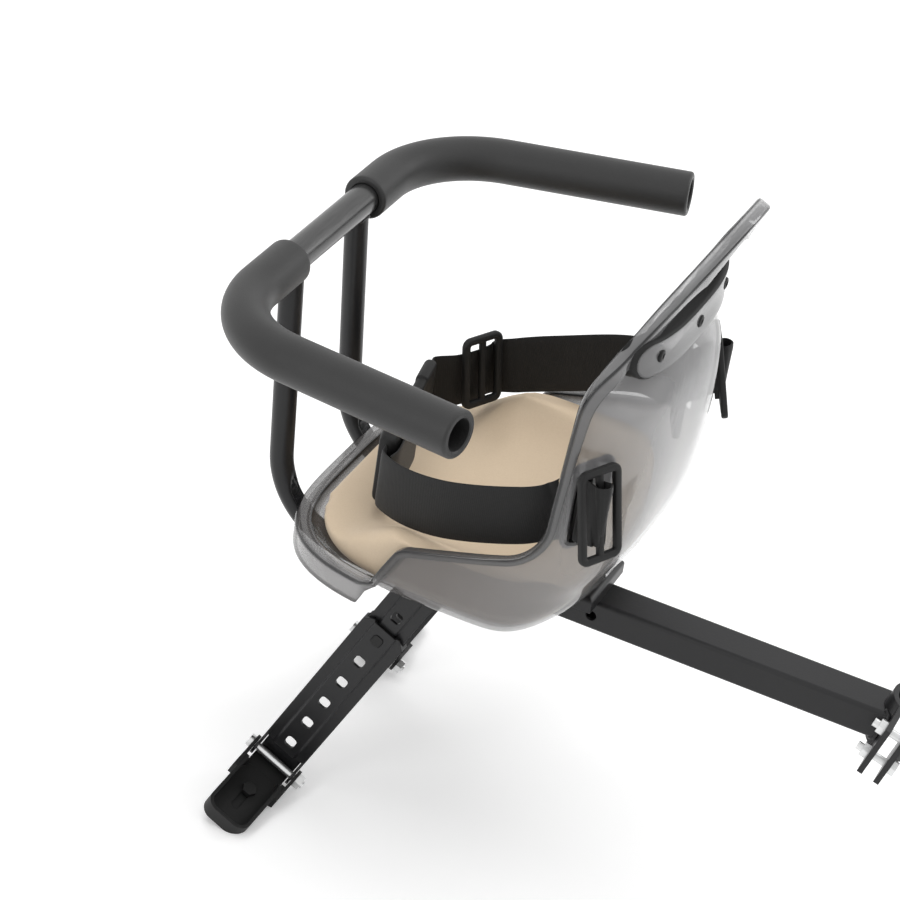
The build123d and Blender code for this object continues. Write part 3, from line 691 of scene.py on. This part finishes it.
def girthOf(z):
    centreZ = shell["floorZ"] + shell["bilge"]
    bend = np.arccos(np.clip((centreZ - z) / shell["bilge"], 0, 1))
    return np.where(z < centreZ, bend * shell["bilge"], quarterGirth + z - centreZ)


def rimTrack():  # half of the rim as (q, girth), from the front of the lip to the crown
    pitch = 1.0
    crown = shell["back"] - float(sweepAt(np.array(shell["crownZ"]))[0]) + 0.02
    corners = [(x, 0, z) for x, z in shell["outline"]] + [(crown, 0, shell["crownZ"])]
    climb = bentLine(corners, shell["outlineRadii"], pitch)
    fine = [climb[0]]
    for point in climb[1:]:
        steps = max(1, int(np.linalg.norm(point - fine[-1]) / pitch))
        fine += [fine[-1] + (point - fine[-1]) * part / steps for part in range(1, steps + 1)]
    samples = np.linspace(0, 1, shell["samples"])
    track = []
    for x, _, z in fine:
        height = float(girthOf(z))
        line = wallPoint(samples, np.full(len(samples), height), 0.0)
        track.append((np.interp(-x, -line[:, 0], samples), height))
    lipGirth = float(girthOf(shell["lipZ"]))
    lip = [(q, lipGirth) for q in np.linspace(0, track[0][0], shell["lipSteps"], endpoint=False)]
    track = np.array(lip + track)
    track[-1] = (1.0, track[-1][1])
    mark = marksOf(wallPoint(track[:, 0], track[:, 1], 0.0))
    even = np.linspace(0, mark[-1], int(mark[-1] / shell["columnPitch"]) + 1)
    return np.interp(even, mark, track[:, 0]), np.interp(even, mark, track[:, 1])


# rim section as (outward, upward, darkness) from the wall's outer edge, once over from outside to inside;
# the darkness is partly the thicker plastic at the rim's bends and partly painted shade for its dark lines
rimSection = [(0.2, -4.4, 0.4), (0.8, -3.6, 0.6), (1.6, -3.3, 0.3), (4.6, -3.2, 0.2), (5.6, -3.7, 0.6),
              (6.0, -5.0, 0.2), (6.2, -16.4, 0.15), (6.3, -17.8, 0.8), (6.9, -18.8, 1.3), (8.1, -18.8, 1.3),
              (8.9, -17.9, 0.9), (9.1, -16.6, 0.2), (9.2, -3.2, 0.1), (9.0, -1.8, 0.9), (8.4, -0.7, 1.3),
              (7.2, -0.1, 0.5), (-0.6, 0.2, 0.15), (-2.2, -0.2, 1.2), (-3.0, -1.4, 0.9)]


def makeShell():
    q, girth = rimTrack()
    count = len(q)
    rim = wallPoint(q, girth, 0.0)
    stepQ = 0.0008
    stepGirth = 0.4
    ahead, behind = np.clip(q + stepQ, 0, 1), np.clip(q - stepQ, 0, 1)
    alongQ = (wallPoint(ahead, girth, 0.0) - wallPoint(behind, girth, 0.0)) / (ahead - behind)[:, None]
    alongG = wallPoint(q, girth + stepGirth, 0.0) - wallPoint(q, girth - stepGirth, 0.0)
    alongG /= 2 * stepGirth
    tangent = unit(np.gradient(rim, axis=0))
    normal = unit(np.cross(alongG, alongQ))
    normal *= np.sign(np.sum(normal * (rim - (shell["widest"], 0, shell["coreZ"])), axis=1))[:, None]
    normal[0] *= (1, 0, 1)
    normal[-1] *= (1, 0, 1)
    normal = unit(normal)
    rise = unit(np.cross(tangent, normal))
    rise *= np.sign(rise[0, 2])
    inLip = ease((rim[:, 0] - shell["lipEnd"] - 1) / shell["lipFade"]) * (girth < quarterGirth)
    flat = unit(normal * (1, 1, 0))
    out = unit(normal + (flat - normal) * inLip[:, None])
    up = unit(rise + ((0, 0, 1) - rise) * inLip[:, None])
    cut = []
    for index in range(count):  # the wall stops short of the rim by the depth of the bead
        frameAt = np.stack([alongQ[index], alongG[index]], axis=1)
        move, *_ = np.linalg.lstsq(frameAt, rise[index] * shell["beadDepth"], rcond=None)
        cut.append((np.clip(q[index] - move[0], 0, 1), max(girth[index] - move[1], shell["leastGirth"])))
    cut = np.array(cut)
    cut[0, 0], cut[-1, 0] = 0.0, 1.0
    # from the hip back the rim climbs and the columns fan out below it
    rimMark = marksOf(rim)
    hip = int(np.argmax(rim[:, 0] < shell["hipX"]))
    fan = np.clip((rimMark - rimMark[hip]) / (rimMark[-1] - rimMark[hip]), 0, 1)
    foot = np.where(fan > 0, cut[hip, 0] + (1 - cut[hip, 0]) * fan, cut[:, 0])
    middle = np.array([shell["middleX"], 0.0, 0.0])

    def wallRows(inset):
        base = wallPoint(foot, np.zeros(count), inset)
        made = [(base - middle) * (scale, scale, 1) + middle for scale in shell["floorRings"]]
        for part in np.linspace(0, 1, shell["wallRows"]):
            made.append(wallPoint(foot + (cut[:, 0] - foot) * ease(part), cut[:, 1] * part, inset))
        return made

    outside = wallRows(0.0)
    inside = wallRows(shell["wall"])
    rows = list(outside)
    # the top row of the outer wall starts the rim's darkening, painted shade
    masks = [np.zeros(count)] * (len(outside) - 1) + [np.full(count, 0.1)]
    table = np.array(shell["rolledEdge"])
    width = np.interp(rim[:, 2], table[:, 0], table[:, 1])
    drop = np.interp(rim[:, 2], table[:, 0], table[:, 2])
    width += (1 - width) * inLip
    drop += (shell["skirt"] - drop) * inLip
    shade = np.array(shell["shade"])
    # painted shade on the rim's lighter rows, heaviest on the wings
    paintedRimShade = np.interp(rim[:, 2], shade[:, 0], shade[:, 1])  # the edge is darkest on the wings
    turned = shell["turned"]  # the edge turns down from here
    for sideways, height, mask in rimSection:
        if height < -turned:
            height = -turned + (height + turned) / (shell["skirt"] - turned) * (drop - turned)
        reach = sideways * (width if sideways > 0 else np.ones(count))
        rows.append(rim + out * reach[:, None] + up * (height * np.ones(count))[:, None])
        masks.append(mask + (1 - inLip) * (paintedRimShade if mask < 0.5 else 0.0))
    rows += inside[::-1]
    # the top row of the inner wall is darkened a little, painted shade at the rim
    masks += [np.full(count, 0.35)] + [np.zeros(count)] * (len(inside) - 1)
    full = [np.vstack([row, mirrorY(row[-2:0:-1])]) for row in rows]
    under = (shell["middleX"], 0, shell["floorZ"])
    floor = (shell["middleX"], 0, shell["floorZ"] + shell["wall"])
    points, faces = rings(full, [under, floor])
    edge = np.concatenate([np.concatenate([mask, mask[-2:0:-1]]) for mask in masks] + [[0, 0]])
    return points, faces, edge


def cutAway(piece, cutters):
    for cutter in cutters:
        tool = piece.modifiers.new("cut", "BOOLEAN")
        tool.operation = "DIFFERENCE"
        tool.solver = "EXACT"
        tool.object = cutter
    bpy.context.view_layer.update()
    done = workedMesh(piece)
    piece.modifiers.clear()
    piece.data = done
    for cutter in cutters:
        bpy.data.objects.remove(cutter)


slot = {"x": 222.0, "z": 141.0, "width": 9.0, "height": 54.0, "corner": 3.0, "reach": (62.0, 150.0)}
notch = {"radius": 9.7, "start": 120.0, "steps": 50, "sides": 28}


def slotCutter(side):
    ring = roundedRing(slot["width"], slot["height"], slot["corner"])
    x, z = slot["x"] + ring[:, 0], slot["z"] + ring[:, 1]
    sections = [np.stack([x, np.full(len(ring), side * y), z], axis=1) for y in slot["reach"]]
    return bareObject("slot_cutter", *rings(sections))


def notchCutter(side):
    line = uprightRun()
    turn = fullTurn(notch["sides"])
    sections = []
    for distance in np.linspace(notch["start"], line.length, notch["steps"]):
        centre, across, other = line.at(distance)
        sections.append((centre + notch["radius"] * circle(turn, across, other)) * (1, side, 1))
    return bareObject("notch_cutter", *rings(sections))


def dressShell():
    points, faces, edge = makeShell()
    piece = makePiece("bucket_shell", points, faces, "smoke_plastic", ["seat_shell"], edge=edge)
    cutAway(piece, [slotCutter(1), slotCutter(-1), notchCutter(1), notchCutter(-1)])
    piece.data.set_sharp_from_angle(angle=math.radians(40))


dressShell()

# the pad's wall and face are outlines as (grown, raised)
pad = {"z": 245.0, "halfLength": 81.0, "halfHeight": 14.0, "straightSteps": 60, "roundSteps": 22,
       "faceShade": 0.42,
       "wall": [(1.2, -1.0), (0.4, 0.5), (0.0, 1.6), (0.0, 4.0), (-0.1, 7.6), (-0.7, 9.2), (-1.8, 10.2)],
       "face": [(-1.8, 10.2), (-3.4, 10.5), (-7.0, 10.5), (-11.0, 10.5), (-13.8, 10.5)]}


def backFace(y, z):
    sweepBack, drawIn = sweepAt(z)
    half = shell["half"] - drawIn
    bulge = (1 - np.clip(np.abs(y) / half, 0, 1) ** shell["backPower"]) ** (1 / shell["backPower"])
    return shell["widest"] - (shell["widest"] - shell["back"] + sweepBack) * bulge + recessAt(y, z)


def padRing(grown, raised):
    straight = pad["halfLength"] - pad["halfHeight"]
    radius = pad["halfHeight"] + grown
    turn = np.linspace(0, math.pi, pad["roundSteps"])[1:-1]
    top = [(y, radius) for y in np.linspace(-straight, straight, pad["straightSteps"])]
    right = [(straight + radius * math.sin(a), radius * math.cos(a)) for a in turn]
    ring = np.array(top + right + [(-y, -z) for y, z in top + right])
    y, z = ring[:, 0], ring[:, 1] + pad["z"]
    return np.stack([backFace(y, z) - raised, y, z], axis=1)


def makePad():  # raised pad across the back, with a smoother face
    wall = [padRing(*step) for step in pad["wall"]]
    face = [padRing(*step) for step in pad["face"]]
    count = len(face[0])
    # painted shade: the pad's wall is clear moulding that looks black edge-on, drawn here in black plastic
    makePiece("back_pad_wall_painted_shade", np.vstack(wall), gridFaces(len(wall), count), "black_plastic", ())
    faces = gridFaces(len(face), count)
    last = (len(face) - 1) * count
    half = count // 2
    end = pad["straightSteps"] - 1
    for index in range(end):
        below = last + half + end - index
        faces.append((last + index, last + index + 1, below - 1, below))
    for first in (end, half + end):
        faces.append([last + (first + index) % count for index in range(pad["roundSteps"])])
    # the face's outer ring takes the full dark edge, painted shade carried on from the wall
    edge = np.repeat([1.0] + [pad["faceShade"]] * (len(face) - 1), count)
    makePiece("back_pad_face", np.vstack(face), faces, "smoke_plastic", (), edge=edge)


makePad()

# the screw's head is rings as (radius, height)
screw = {"places": (-57.5, 0.0, 57.5), "rise": 9.3, "sides": 36, "socket": 2.1, "socketLevels": (2.4, 0.7),
         "head": [(2.5, -11.8), (2.5, 0.0), (4.3, 0.0), (4.5, 0.3), (4.5, 1.0), (4.2, 1.9), (3.5, 2.3)]}


def makeScrews():  # pan heads with a hexagon socket
    axis = np.array([-1.0, 0.0, 0.0])
    side = np.array([0.0, 1.0, 0.0])
    turn = fullTurn(screw["sides"])
    ring = circle(turn, side, np.cross(axis, side))
    sixth = math.pi / 6
    hexagon = math.cos(sixth) / np.cos((turn + sixth) % (2 * sixth) - sixth)
    socket = screw["socket"] * hexagon[:, None] * ring
    shapes = []
    for y in screw["places"]:
        place = np.array([float(backFace(np.array(y), np.array(pad["z"]))) - screw["rise"], y, pad["z"]])
        sections = [place + radius * ring + axis * height for radius, height in screw["head"]]
        sections += [place + socket + axis * height for height in screw["socketLevels"]]
        shapes.append(rings(sections))
    makePiece("back_pad_screws", *joined(*shapes), "black_plastic", ["back_screws"], sharp=35)


makeScrews()
print("bucket shell, pad and screws made")


# cushion, in metres

cushion = {"shrink": 0.985, "voxel": 0.005, "noseX": 0.365, "nosePull": 0.87, "tailX": 0.262, "tailPull": 0.78,
           "top": 0.052, "topFrom": 0.048, "sideTop": 0.076, "sideFront": 0.381, "sideSlope": 0.62,
           "sideStep": 0.003, "sideStart": 0.058, "sideFade": 0.048, "pressure": 4.0, "quality": 6,
           "frames": 20, "travel": 0.006, "smoothing": 6}


def spotsOf(mesh):
    spots = np.empty(len(mesh.vertices) * 3, np.float32)
    mesh.vertices.foreach_get("co", spots)
    return spots.reshape(-1, 3)


def evenCushion():  # the solid, a little smaller and with an even mesh
    mesh = nodes["seat_cushion"].data.copy()
    mesh.name = "leatherette_cushion"
    piece = bpy.data.objects.new("leatherette_cushion", mesh)
    bpy.context.scene.collection.objects.link(piece)
    low, high = (Vector(corner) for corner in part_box("seat_cushion"))
    middle = (low + high) / 2
    for vertex in mesh.vertices:
        vertex.co = middle + (vertex.co - middle) * cushion["shrink"]
    remesh = piece.modifiers.new("even", "REMESH")
    remesh.mode = "VOXEL"
    remesh.voxel_size = cushion["voxel"]
    bpy.context.view_layer.update()
    piece.data = workedMesh(piece)
    piece.modifiers.clear()
    return piece


def shapeCushion(spots):  # nose and tail pulled in, sides raised towards the back
    nose = spots[:, 0] > cushion["noseX"]
    spots[nose, 0] = cushion["noseX"] + (spots[nose, 0] - cushion["noseX"]) * cushion["nosePull"]
    tail = spots[:, 0] < cushion["tailX"]
    spots[tail, 0] = cushion["tailX"] + (spots[tail, 0] - cushion["tailX"]) * cushion["tailPull"]
    lift = (cushion["sideFront"] - spots[:, 0]) * cushion["sideSlope"] + cushion["sideStep"]
    lift = np.clip(lift, 0, cushion["sideTop"] - cushion["top"])
    side = ease((np.abs(spots[:, 1]) - cushion["sideStart"]) / cushion["sideFade"])
    raised = np.maximum(spots[:, 2], cushion["top"] + lift * side)
    spots[:, 2] = np.where(spots[:, 2] > cushion["topFrom"], raised, spots[:, 2])
    return spots


def stuffed(piece, start):  # a short run of cloth under pressure, its travel held to a few millimetres
    cloth = piece.modifiers.new("stuffing", "CLOTH")
    cloth.settings.quality = cushion["quality"]
    cloth.settings.use_pressure = True
    cloth.settings.uniform_pressure_force = cushion["pressure"]
    cloth.settings.effector_weights.gravity = 0
    cloth.point_cache.frame_end = cushion["frames"]
    for number in range(1, cushion["frames"] + 1):
        bpy.context.scene.frame_set(number)
    settled = workedMesh(piece)
    shift = spotsOf(settled) - start
    piece.modifiers.clear()
    bpy.context.scene.frame_set(1)
    bpy.data.meshes.remove(settled)
    size = np.linalg.norm(shift, axis=1, keepdims=True)
    return start + shift * np.minimum(1, cushion["travel"] / np.maximum(size, 1e-9))


def makeCushion():
    piece = evenCushion()
    spots = shapeCushion(spotsOf(piece.data))
    piece.data.vertices.foreach_set("co", spots.ravel())
    spots = stuffed(piece, spots)
    piece.data.vertices.foreach_set("co", spots.astype(np.float32).ravel())
    work = bmesh.new()
    work.from_mesh(piece.data)
    everyWay = {"use_axis_x": True, "use_axis_y": True, "use_axis_z": True}
    for _ in range(cushion["smoothing"]):
        bmesh.ops.smooth_vert(work, verts=work.verts, factor=0.5, **everyWay)
    work.to_mesh(piece.data)
    work.free()
    finer = piece.modifiers.new("finer", "SUBSURF")
    finer.levels = 1
    finer.render_levels = 1
    bpy.context.view_layer.update()
    piece.data = workedMesh(piece)
    piece.modifiers.clear()
    dressPiece(piece, "cushion_cover", ["seat_cushion"], "seat", 180)


makeCushion()
print("cushion made")


# belt: each slider has a place, a yaw, a tilt and a height

slider = {"width": 36.0, "bar": 5.5, "thickness": 5.0, "corner": 4.0, "squareness": 0.55, "sides": 16,
          "places": {"outer": ((205.5, 110.0, 149.0), 65.0, 14.0, 66.0),
                     "inner": ((223.0, 85.0, 138.0), 65.0, 0.0, 66.0),
                     "front": ((371.0, -81.0, 99.0), 65.0, 10.0, 55.0)}}


def squared(wave, size):  # a wave pressed towards a square
    return np.sign(wave) * np.abs(wave) ** slider["squareness"] * size / 2


def sliderShape(height):
    bar, sides = slider["bar"], slider["sides"]
    turn = fullTurn(sides)
    ringX = squared(np.cos(turn), bar)
    ringY = squared(np.sin(turn), slider["thickness"])
    outline = roundedRing(slider["width"] - bar, height - bar, slider["corner"], 8)
    tangent = unit(np.roll(outline, -1, axis=0) - np.roll(outline, 1, axis=0))
    sections = []
    for (x, z), along in zip(outline, tangent):
        sections.append(np.stack([x + ringX * along[1], ringY, z - ringX * along[0]], axis=1))
    loop = (np.vstack(sections), gridFaces(len(outline), sides, closeRows=True))
    levels = np.linspace(-1, 1, 8) * (height - bar) / 2
    stick = [np.stack([ringX * 0.9, ringY * 0.85, np.full(sides, z)], axis=1) for z in levels]
    return joined(loop, rings(stick))


def makeSliders():
    for kind, (origin, yaw, tilt, height) in slider["places"].items():
        points, faces = sliderShape(height)
        points = placed(points, origin, yaw, tilt)
        if kind == "front":
            makePiece("belt_front_slider", points, faces, "black_plastic", ["front_slider"], sharp=60)
        else:
            for side, flip in bothSides:
                name = kind + "_slider_" + side
                makePiece("belt_" + name, flip(points), faces, "black_plastic", [name], sharp=60)


makeSliders()

# the buckle's rings are (along, thick, tall)
buckle = {"place": (376.5, 66.0, 89.0), "yaw": 10.5, "socket": 64.0, "plug": 52.0, "gap": 0.1,
          "socketRings": [(0, 9, 50), (0.8, 10.5, 52), (3, 12, 53.5), (8, 13.4, 55), (18, 14, 56.5),
                          (20, 14, 56.6), (20.6, 13.6, 44), (21.4, 13.4, 43), (43.6, 13.4, 43),
                          (44.4, 13.6, 44), (45, 14, 57.6), (47, 14, 58), (60, 14, 58), (63, 13.4, 57.4),
                          (64, 12, 56)],
          "plugRings": [(0, 9, 50), (0.6, 10.6, 51.6), (2, 11, 52), (9, 11, 52), (11, 10.6, 51), (12, 8.6, 48),
                        (26, 8.2, 48), (27, 9.6, 51), (49, 9.4, 51.4), (51, 8.6, 50.6), (51.9, 7, 49)],
          "tabEnds": (21.8, 43.2), "tabSteps": 14, "tabSize": (9.0, 7.0, 2.0), "tabOut": 20.4, "tabBulge": 4.6}


def onBuckle(points):
    return placed(points, buckle["place"], buckle["yaw"])


# stations of the webbing between slider and buckle, and of its tail in the buckle's own frame
web = {"width": 44.0, "thickness": 2.0, "faceSteps": 15,
       "left": [(222, 101.5, 141), (226.5, 91.5, 136), (239, 91.5, 127.5), (262, 99, 118.5), (312, 101, 103),
                (346, 92, 94), (366, 82, 90.5)],
       "tail": [(-6.6, 13, 0), (-9.2, 4, 0), (-9.4, -14, 0), (-9.2, -34, 0), (-9.0, -54, 0)],
       "right": [(222, -101.5, 141), (226.5, -91.5, 141), (239, -91.5, 140), (262, -99.5, 136),
                 (318, -104.5, 113), (352, -104, 98.5), (369, -99.5, 92.5), (376, -83.5, 91.5),
                 (386, -68, 90.5)]}


def band(stations):  # flat webbing standing on edge, with soft selvedges
    line = splineLine(stations)
    mark = marksOf(line)
    tangent = unit(np.gradient(line, mark, axis=0))
    across = unit(np.array([0, 0, 1.0]) - tangent * tangent[:, 2:3])
    face = np.cross(tangent, across)
    half = web["thickness"] / 2
    brim = web["width"] / 2
    steps = np.linspace(-1, 1, web["faceSteps"])
    front = [(v * (brim - half), half * (1 - 0.35 * (abs(v) > 0.93))) for v in steps]
    selvedge = [(brim - 0.3 * half, half * 0.5), (brim, 0), (brim - 0.3 * half, -half * 0.5)]
    back = [(v, -h) for v, h in front[::-1]]
    profile = np.array(front + selvedge + back + [(-v, -h) for v, h in selvedge])
    sections = [line[k] + profile[:, :1] * across[k] + profile[:, 1:] * face[k] for k in range(len(line))]
    points, faces = rings(sections)
    grid = [(mark[k], v) for k in range(len(line)) for v in profile[:, 0]] + [(0, 0), (mark[-1], 0)]
    return points, faces, grid


def loopStations():  # webbing folded round the outer slider's middle bar, its tail first
    origin, yaw, tilt, _ = slider["places"]["outer"]
    lift = slider["thickness"] / 2 + 1.2
    bar = slider["bar"] / 2 + 1.3
    local = [(-bar, -lift - 2.0, 0), (-bar, -lift + 1.5, 0), (-bar, 0, 0), (-bar * 0.8, lift * 0.75, 0),
             (0, lift + 0.9, 0), (bar * 0.8, lift * 0.75, 0), (bar, 0, 0), (bar, -lift, 0)]
    return placed(local, origin, yaw, tilt)


def makeStraps():
    start = loopStations()
    left = band(np.vstack([start, web["left"], onBuckle([(0, 8, 0), (0, 0.5, 0)])]))
    tail = band(onBuckle(web["tail"]))
    points, faces = joined(left[:2], tail[:2])
    makePiece("webbing_left", points, faces, "webbing", ["strap_left"], grid=np.vstack([left[2], tail[2]]))
    end = buckle["socket"] + buckle["plug"] + 1
    right = np.vstack([mirrorY(start), web["right"], onBuckle([(0, -end - 8, 0), (0, -end, 0)])])
    points, faces, grid = band(right)
    makePiece("webbing_right", points, faces, "webbing", ["strap_right"], grid=grid)


makeStraps()


def buckleRings(sections, start=0.0):
    made = []
    for along, thick, tall in sections:
        ring = roundedRing(thick, tall, min(thick * 0.42, 5.0), 5)
        made.append(np.stack([ring[:, 0], np.full(len(ring), -(start + along)), ring[:, 1]], axis=1))
    return rings(made)


def buckleTab(side):  # the bulged tab that is pressed to let the plug go
    first, last = buckle["tabEnds"]
    ring = roundedRing(*buckle["tabSize"], 4)
    sections = []
    for y in np.linspace(first, last, buckle["tabSteps"]):
        bulge = max(0.0, math.sin((y - first) / (last - first) * math.pi)) ** 0.5
        z = side * (buckle["tabOut"] + ring[:, 1] + buckle["tabBulge"] * bulge)
        sections.append(np.stack([ring[:, 0], np.full(len(ring), -y), z], axis=1))
    return rings(sections)


def makeBuckle():
    points, faces = joined(buckleRings(buckle["socketRings"]), buckleTab(1), buckleTab(-1))
    makePiece("belt_buckle_socket", onBuckle(points), faces, "black_plastic", ["buckle_socket"], sharp=50)
    points, faces = buckleRings(buckle["plugRings"], buckle["socket"] + buckle["gap"])
    makePiece("belt_buckle_plug", onBuckle(points), faces, "black_plastic", ["buckle_plug"], sharp=50)


makeBuckle()
print("belt made")


# these parts keep their solids and take the finish of their slot

keptSolids = {
    "painted_frame": ["main_beam", "cross_tube", "seat_plate", "clamp_front_half", "clamp_rear_half",
                      "footrest_bracket_left", "footrest_bracket_right", "footrest_leg_left",
                      "footrest_leg_right"],
    "zinc": ["clamp_bolts", "clamp_nuts", "hinge_pin_left", "hinge_pin_right", "hinge_nut_left",
             "hinge_nut_right"],
    "black_plastic": ["leg_bolt_left", "leg_bolt_right", "plate_screws", "footrest_pedal_left",
                      "footrest_pedal_right", "pedal_screw_left", "pedal_screw_right"],
}


def dressSolids():
    for slotName, names in keptSolids.items():
        for name in names:
            for place in nodes[name].material_slots:
                place.material = finishes[slotName]


dressSolids()

# blocks as two corners (across, out, along) from the hinge pin
tongue = {"pin": (421.5, 84.0, -176.5), "lean": 25.3, "droop": 8.0, "corner": 0.6,
          "leg": ((-15.5, -8.8, -4.0), (15.5, -7.2, 13.0)),
          "pedal": ((-15.3, -6.0, -8.9), (15.3, 21.0, -6.6)),
          "slotFloor": ((-4.2, 26.5, -8.9), (4.2, 51.5, -8.0))}


def makeTongues():  # the leg runs down to the pin and the pedal's floor runs back under it
    lean = math.radians(tongue["lean"])
    across = np.array([math.cos(lean), 0, math.sin(lean)])
    along = np.array([-math.sin(lean), 0, math.cos(lean)])

    def block(key, droop):
        low, high = np.array(tongue[key])
        ring = roundedRing(high[0] - low[0], high[1] - low[1], tongue["corner"], 3) + ((low + high) / 2)[:2]
        local = [np.stack([ring[:, 0], ring[:, 1], np.full(len(ring), z)], axis=1) for z in (low[2], high[2])]
        points, faces = rings(local)
        turn = math.radians(droop)
        y = points[:, 1] * math.cos(turn) + points[:, 2] * math.sin(turn)
        z = points[:, 2] * math.cos(turn) - points[:, 1] * math.sin(turn)
        place = np.array(tongue["pin"]) + points[:, :1] * across + z[:, None] * along
        place[:, 1] += y
        return place, faces

    leg, legFaces = block("leg", 0.0)
    pedal, pedalFaces = joined(block("pedal", tongue["droop"]), block("slotFloor", tongue["droop"]))
    for side, flip in bothSides:
        makePiece("leg_tongue_" + side, flip(leg), legFaces, "painted_frame", ())
        makePiece("pedal_tongue_" + side, flip(pedal), pedalFaces, "black_plastic", (), body="pedal_" + side)


makeTongues()

clampWeld = {"clampRadius": 17.6, "lean": 16.0, "width": 30.0, "height": 24.0, "corner": 3.0, "lift": 0.4,
             "pitch": 1.0, "bead": 1.8}


def makeClampWeld():  # where the beam meets the round of the clamp
    lean = math.radians(clampWeld["lean"])
    width, height = clampWeld["width"], clampWeld["height"]
    corners = []
    for y, z in roundedRing(width, height, clampWeld["corner"], 5):
        along = math.sqrt(max(clampWeld["clampRadius"] ** 2 - y * y, 0))
        x = (along + z * -math.sin(lean)) / math.cos(lean)
        corners.append((x + clampWeld["lift"], y, z, 0.5, y / (width / 2), z / (height / 2)))
    corners = np.array(corners)
    dense = []
    for here, after in zip(corners, np.roll(corners, -1, axis=0)):
        steps = max(1, int(np.linalg.norm(after[:3] - here[:3]) / clampWeld["pitch"]))
        dense += [here + (after - here) * part / steps for part in range(steps)]
    dense = np.array(dense)
    weldBead("clamp_weld", dense[:, :3], dense[:, 3:], clampWeld["bead"])


makeClampWeld()
print("solids dressed, hinge tongues and clamp weld made")


# stage, light and camera

studio = {"floorZ": -0.196, "floorSize": 6.0, "floorTone": 0.93, "floorGlow": 0.26, "sky": 0.42,
          "keyPower": 62.0}
lamps = {
    "top": {"spot": (0.3, -0.3, 2.6), "target": (0.3, -0.1, 0.0), "size": (3.4, 3.0), "share": 1.0},
    "rim": {"spot": (-0.9, -1.4, 1.1), "target": (0.25, 0, 0.1), "size": (0.4, 1.4), "share": 0.10},
    "side": {"spot": (0.95, 1.5, 0.8), "target": (0.3, 0, 0.1), "size": (0.25, 1.3), "share": 0.07},
}
camera = {"lens": 115.405, "sensor": 36.0, "reach": 50.0, "spot": (-0.24169, 1.58965, 1.17728),
          "turn": (56.79014, -7.53663, -154.51075)}


def seenPlainly(paint):  # 1 for rays of the camera, of gloss and through glass
    seen = paint.node("LightPath", {}, {}, "Is Camera Ray")
    for kind in ("Is Glossy Ray", "Is Transmission Ray"):
        seen = seen.sum("MAXIMUM", paint.node("LightPath", {}, {}, kind))
    return seen


def makeStage():
    size, z, tone = studio["floorSize"], studio["floorZ"], studio["floorTone"]
    corners = [(-size, -size, z), (size, -size, z), (size, size, z), (-size, size, z)]
    mesh = bpy.data.meshes.new("floor")
    mesh.from_pydata(corners, [], [(0, 1, 2, 3)])
    floor = bpy.data.objects.new("floor", mesh)
    bpy.context.scene.collection.objects.link(floor)
    paint = Paint("pale_floor", Roughness=0.9, Emission_Strength=1.0)
    paint.feed("Base_Color", paint.tint(paint.noise(1.5, 2.0), grey(tone), grey(tone + 0.03)))
    paint.feed("Emission_Color", paint.tint(seenPlainly(paint), grey(0.0), grey(studio["floorGlow"])))
    mesh.materials.append(paint.owner)
    sky = Paint("studio", world=True, Color=grey(1.0))
    sky.feed("Strength", studio["sky"] + seenPlainly(sky) * (1 - studio["sky"]))
    bpy.context.scene.world = sky.owner


def addLamps():
    for name, wanted in lamps.items():
        lamp = bpy.data.lights.new(name, "AREA")
        lamp.shape = "RECTANGLE"
        lamp.size, lamp.size_y = wanted["size"]
        lamp.energy = studio["keyPower"] * wanted["share"]
        holder = bpy.data.objects.new(name, lamp)
        holder.location = wanted["spot"]
        aim = Vector(wanted["target"]) - Vector(wanted["spot"])
        holder.rotation_euler = aim.to_track_quat("-Z", "Y").to_euler()
        holder.visible_glossy = name != "top"  # the white studio gives the reflections from above
        bpy.context.scene.collection.objects.link(holder)


def addCamera():
    lens = bpy.data.cameras.new("camera")
    lens.lens = camera["lens"]
    lens.sensor_width = camera["sensor"]
    lens.clip_end = camera["reach"]
    holder = bpy.data.objects.new("camera", lens)
    holder.location = camera["spot"]
    holder.rotation_euler = [math.radians(a) for a in camera["turn"]]
    bpy.context.scene.collection.objects.link(holder)
    bpy.context.scene.camera = holder


makeStage()
addLamps()
addCamera()
bpy.context.scene.view_settings.view_transform = "Standard"
print("stage, lamps and camera set")
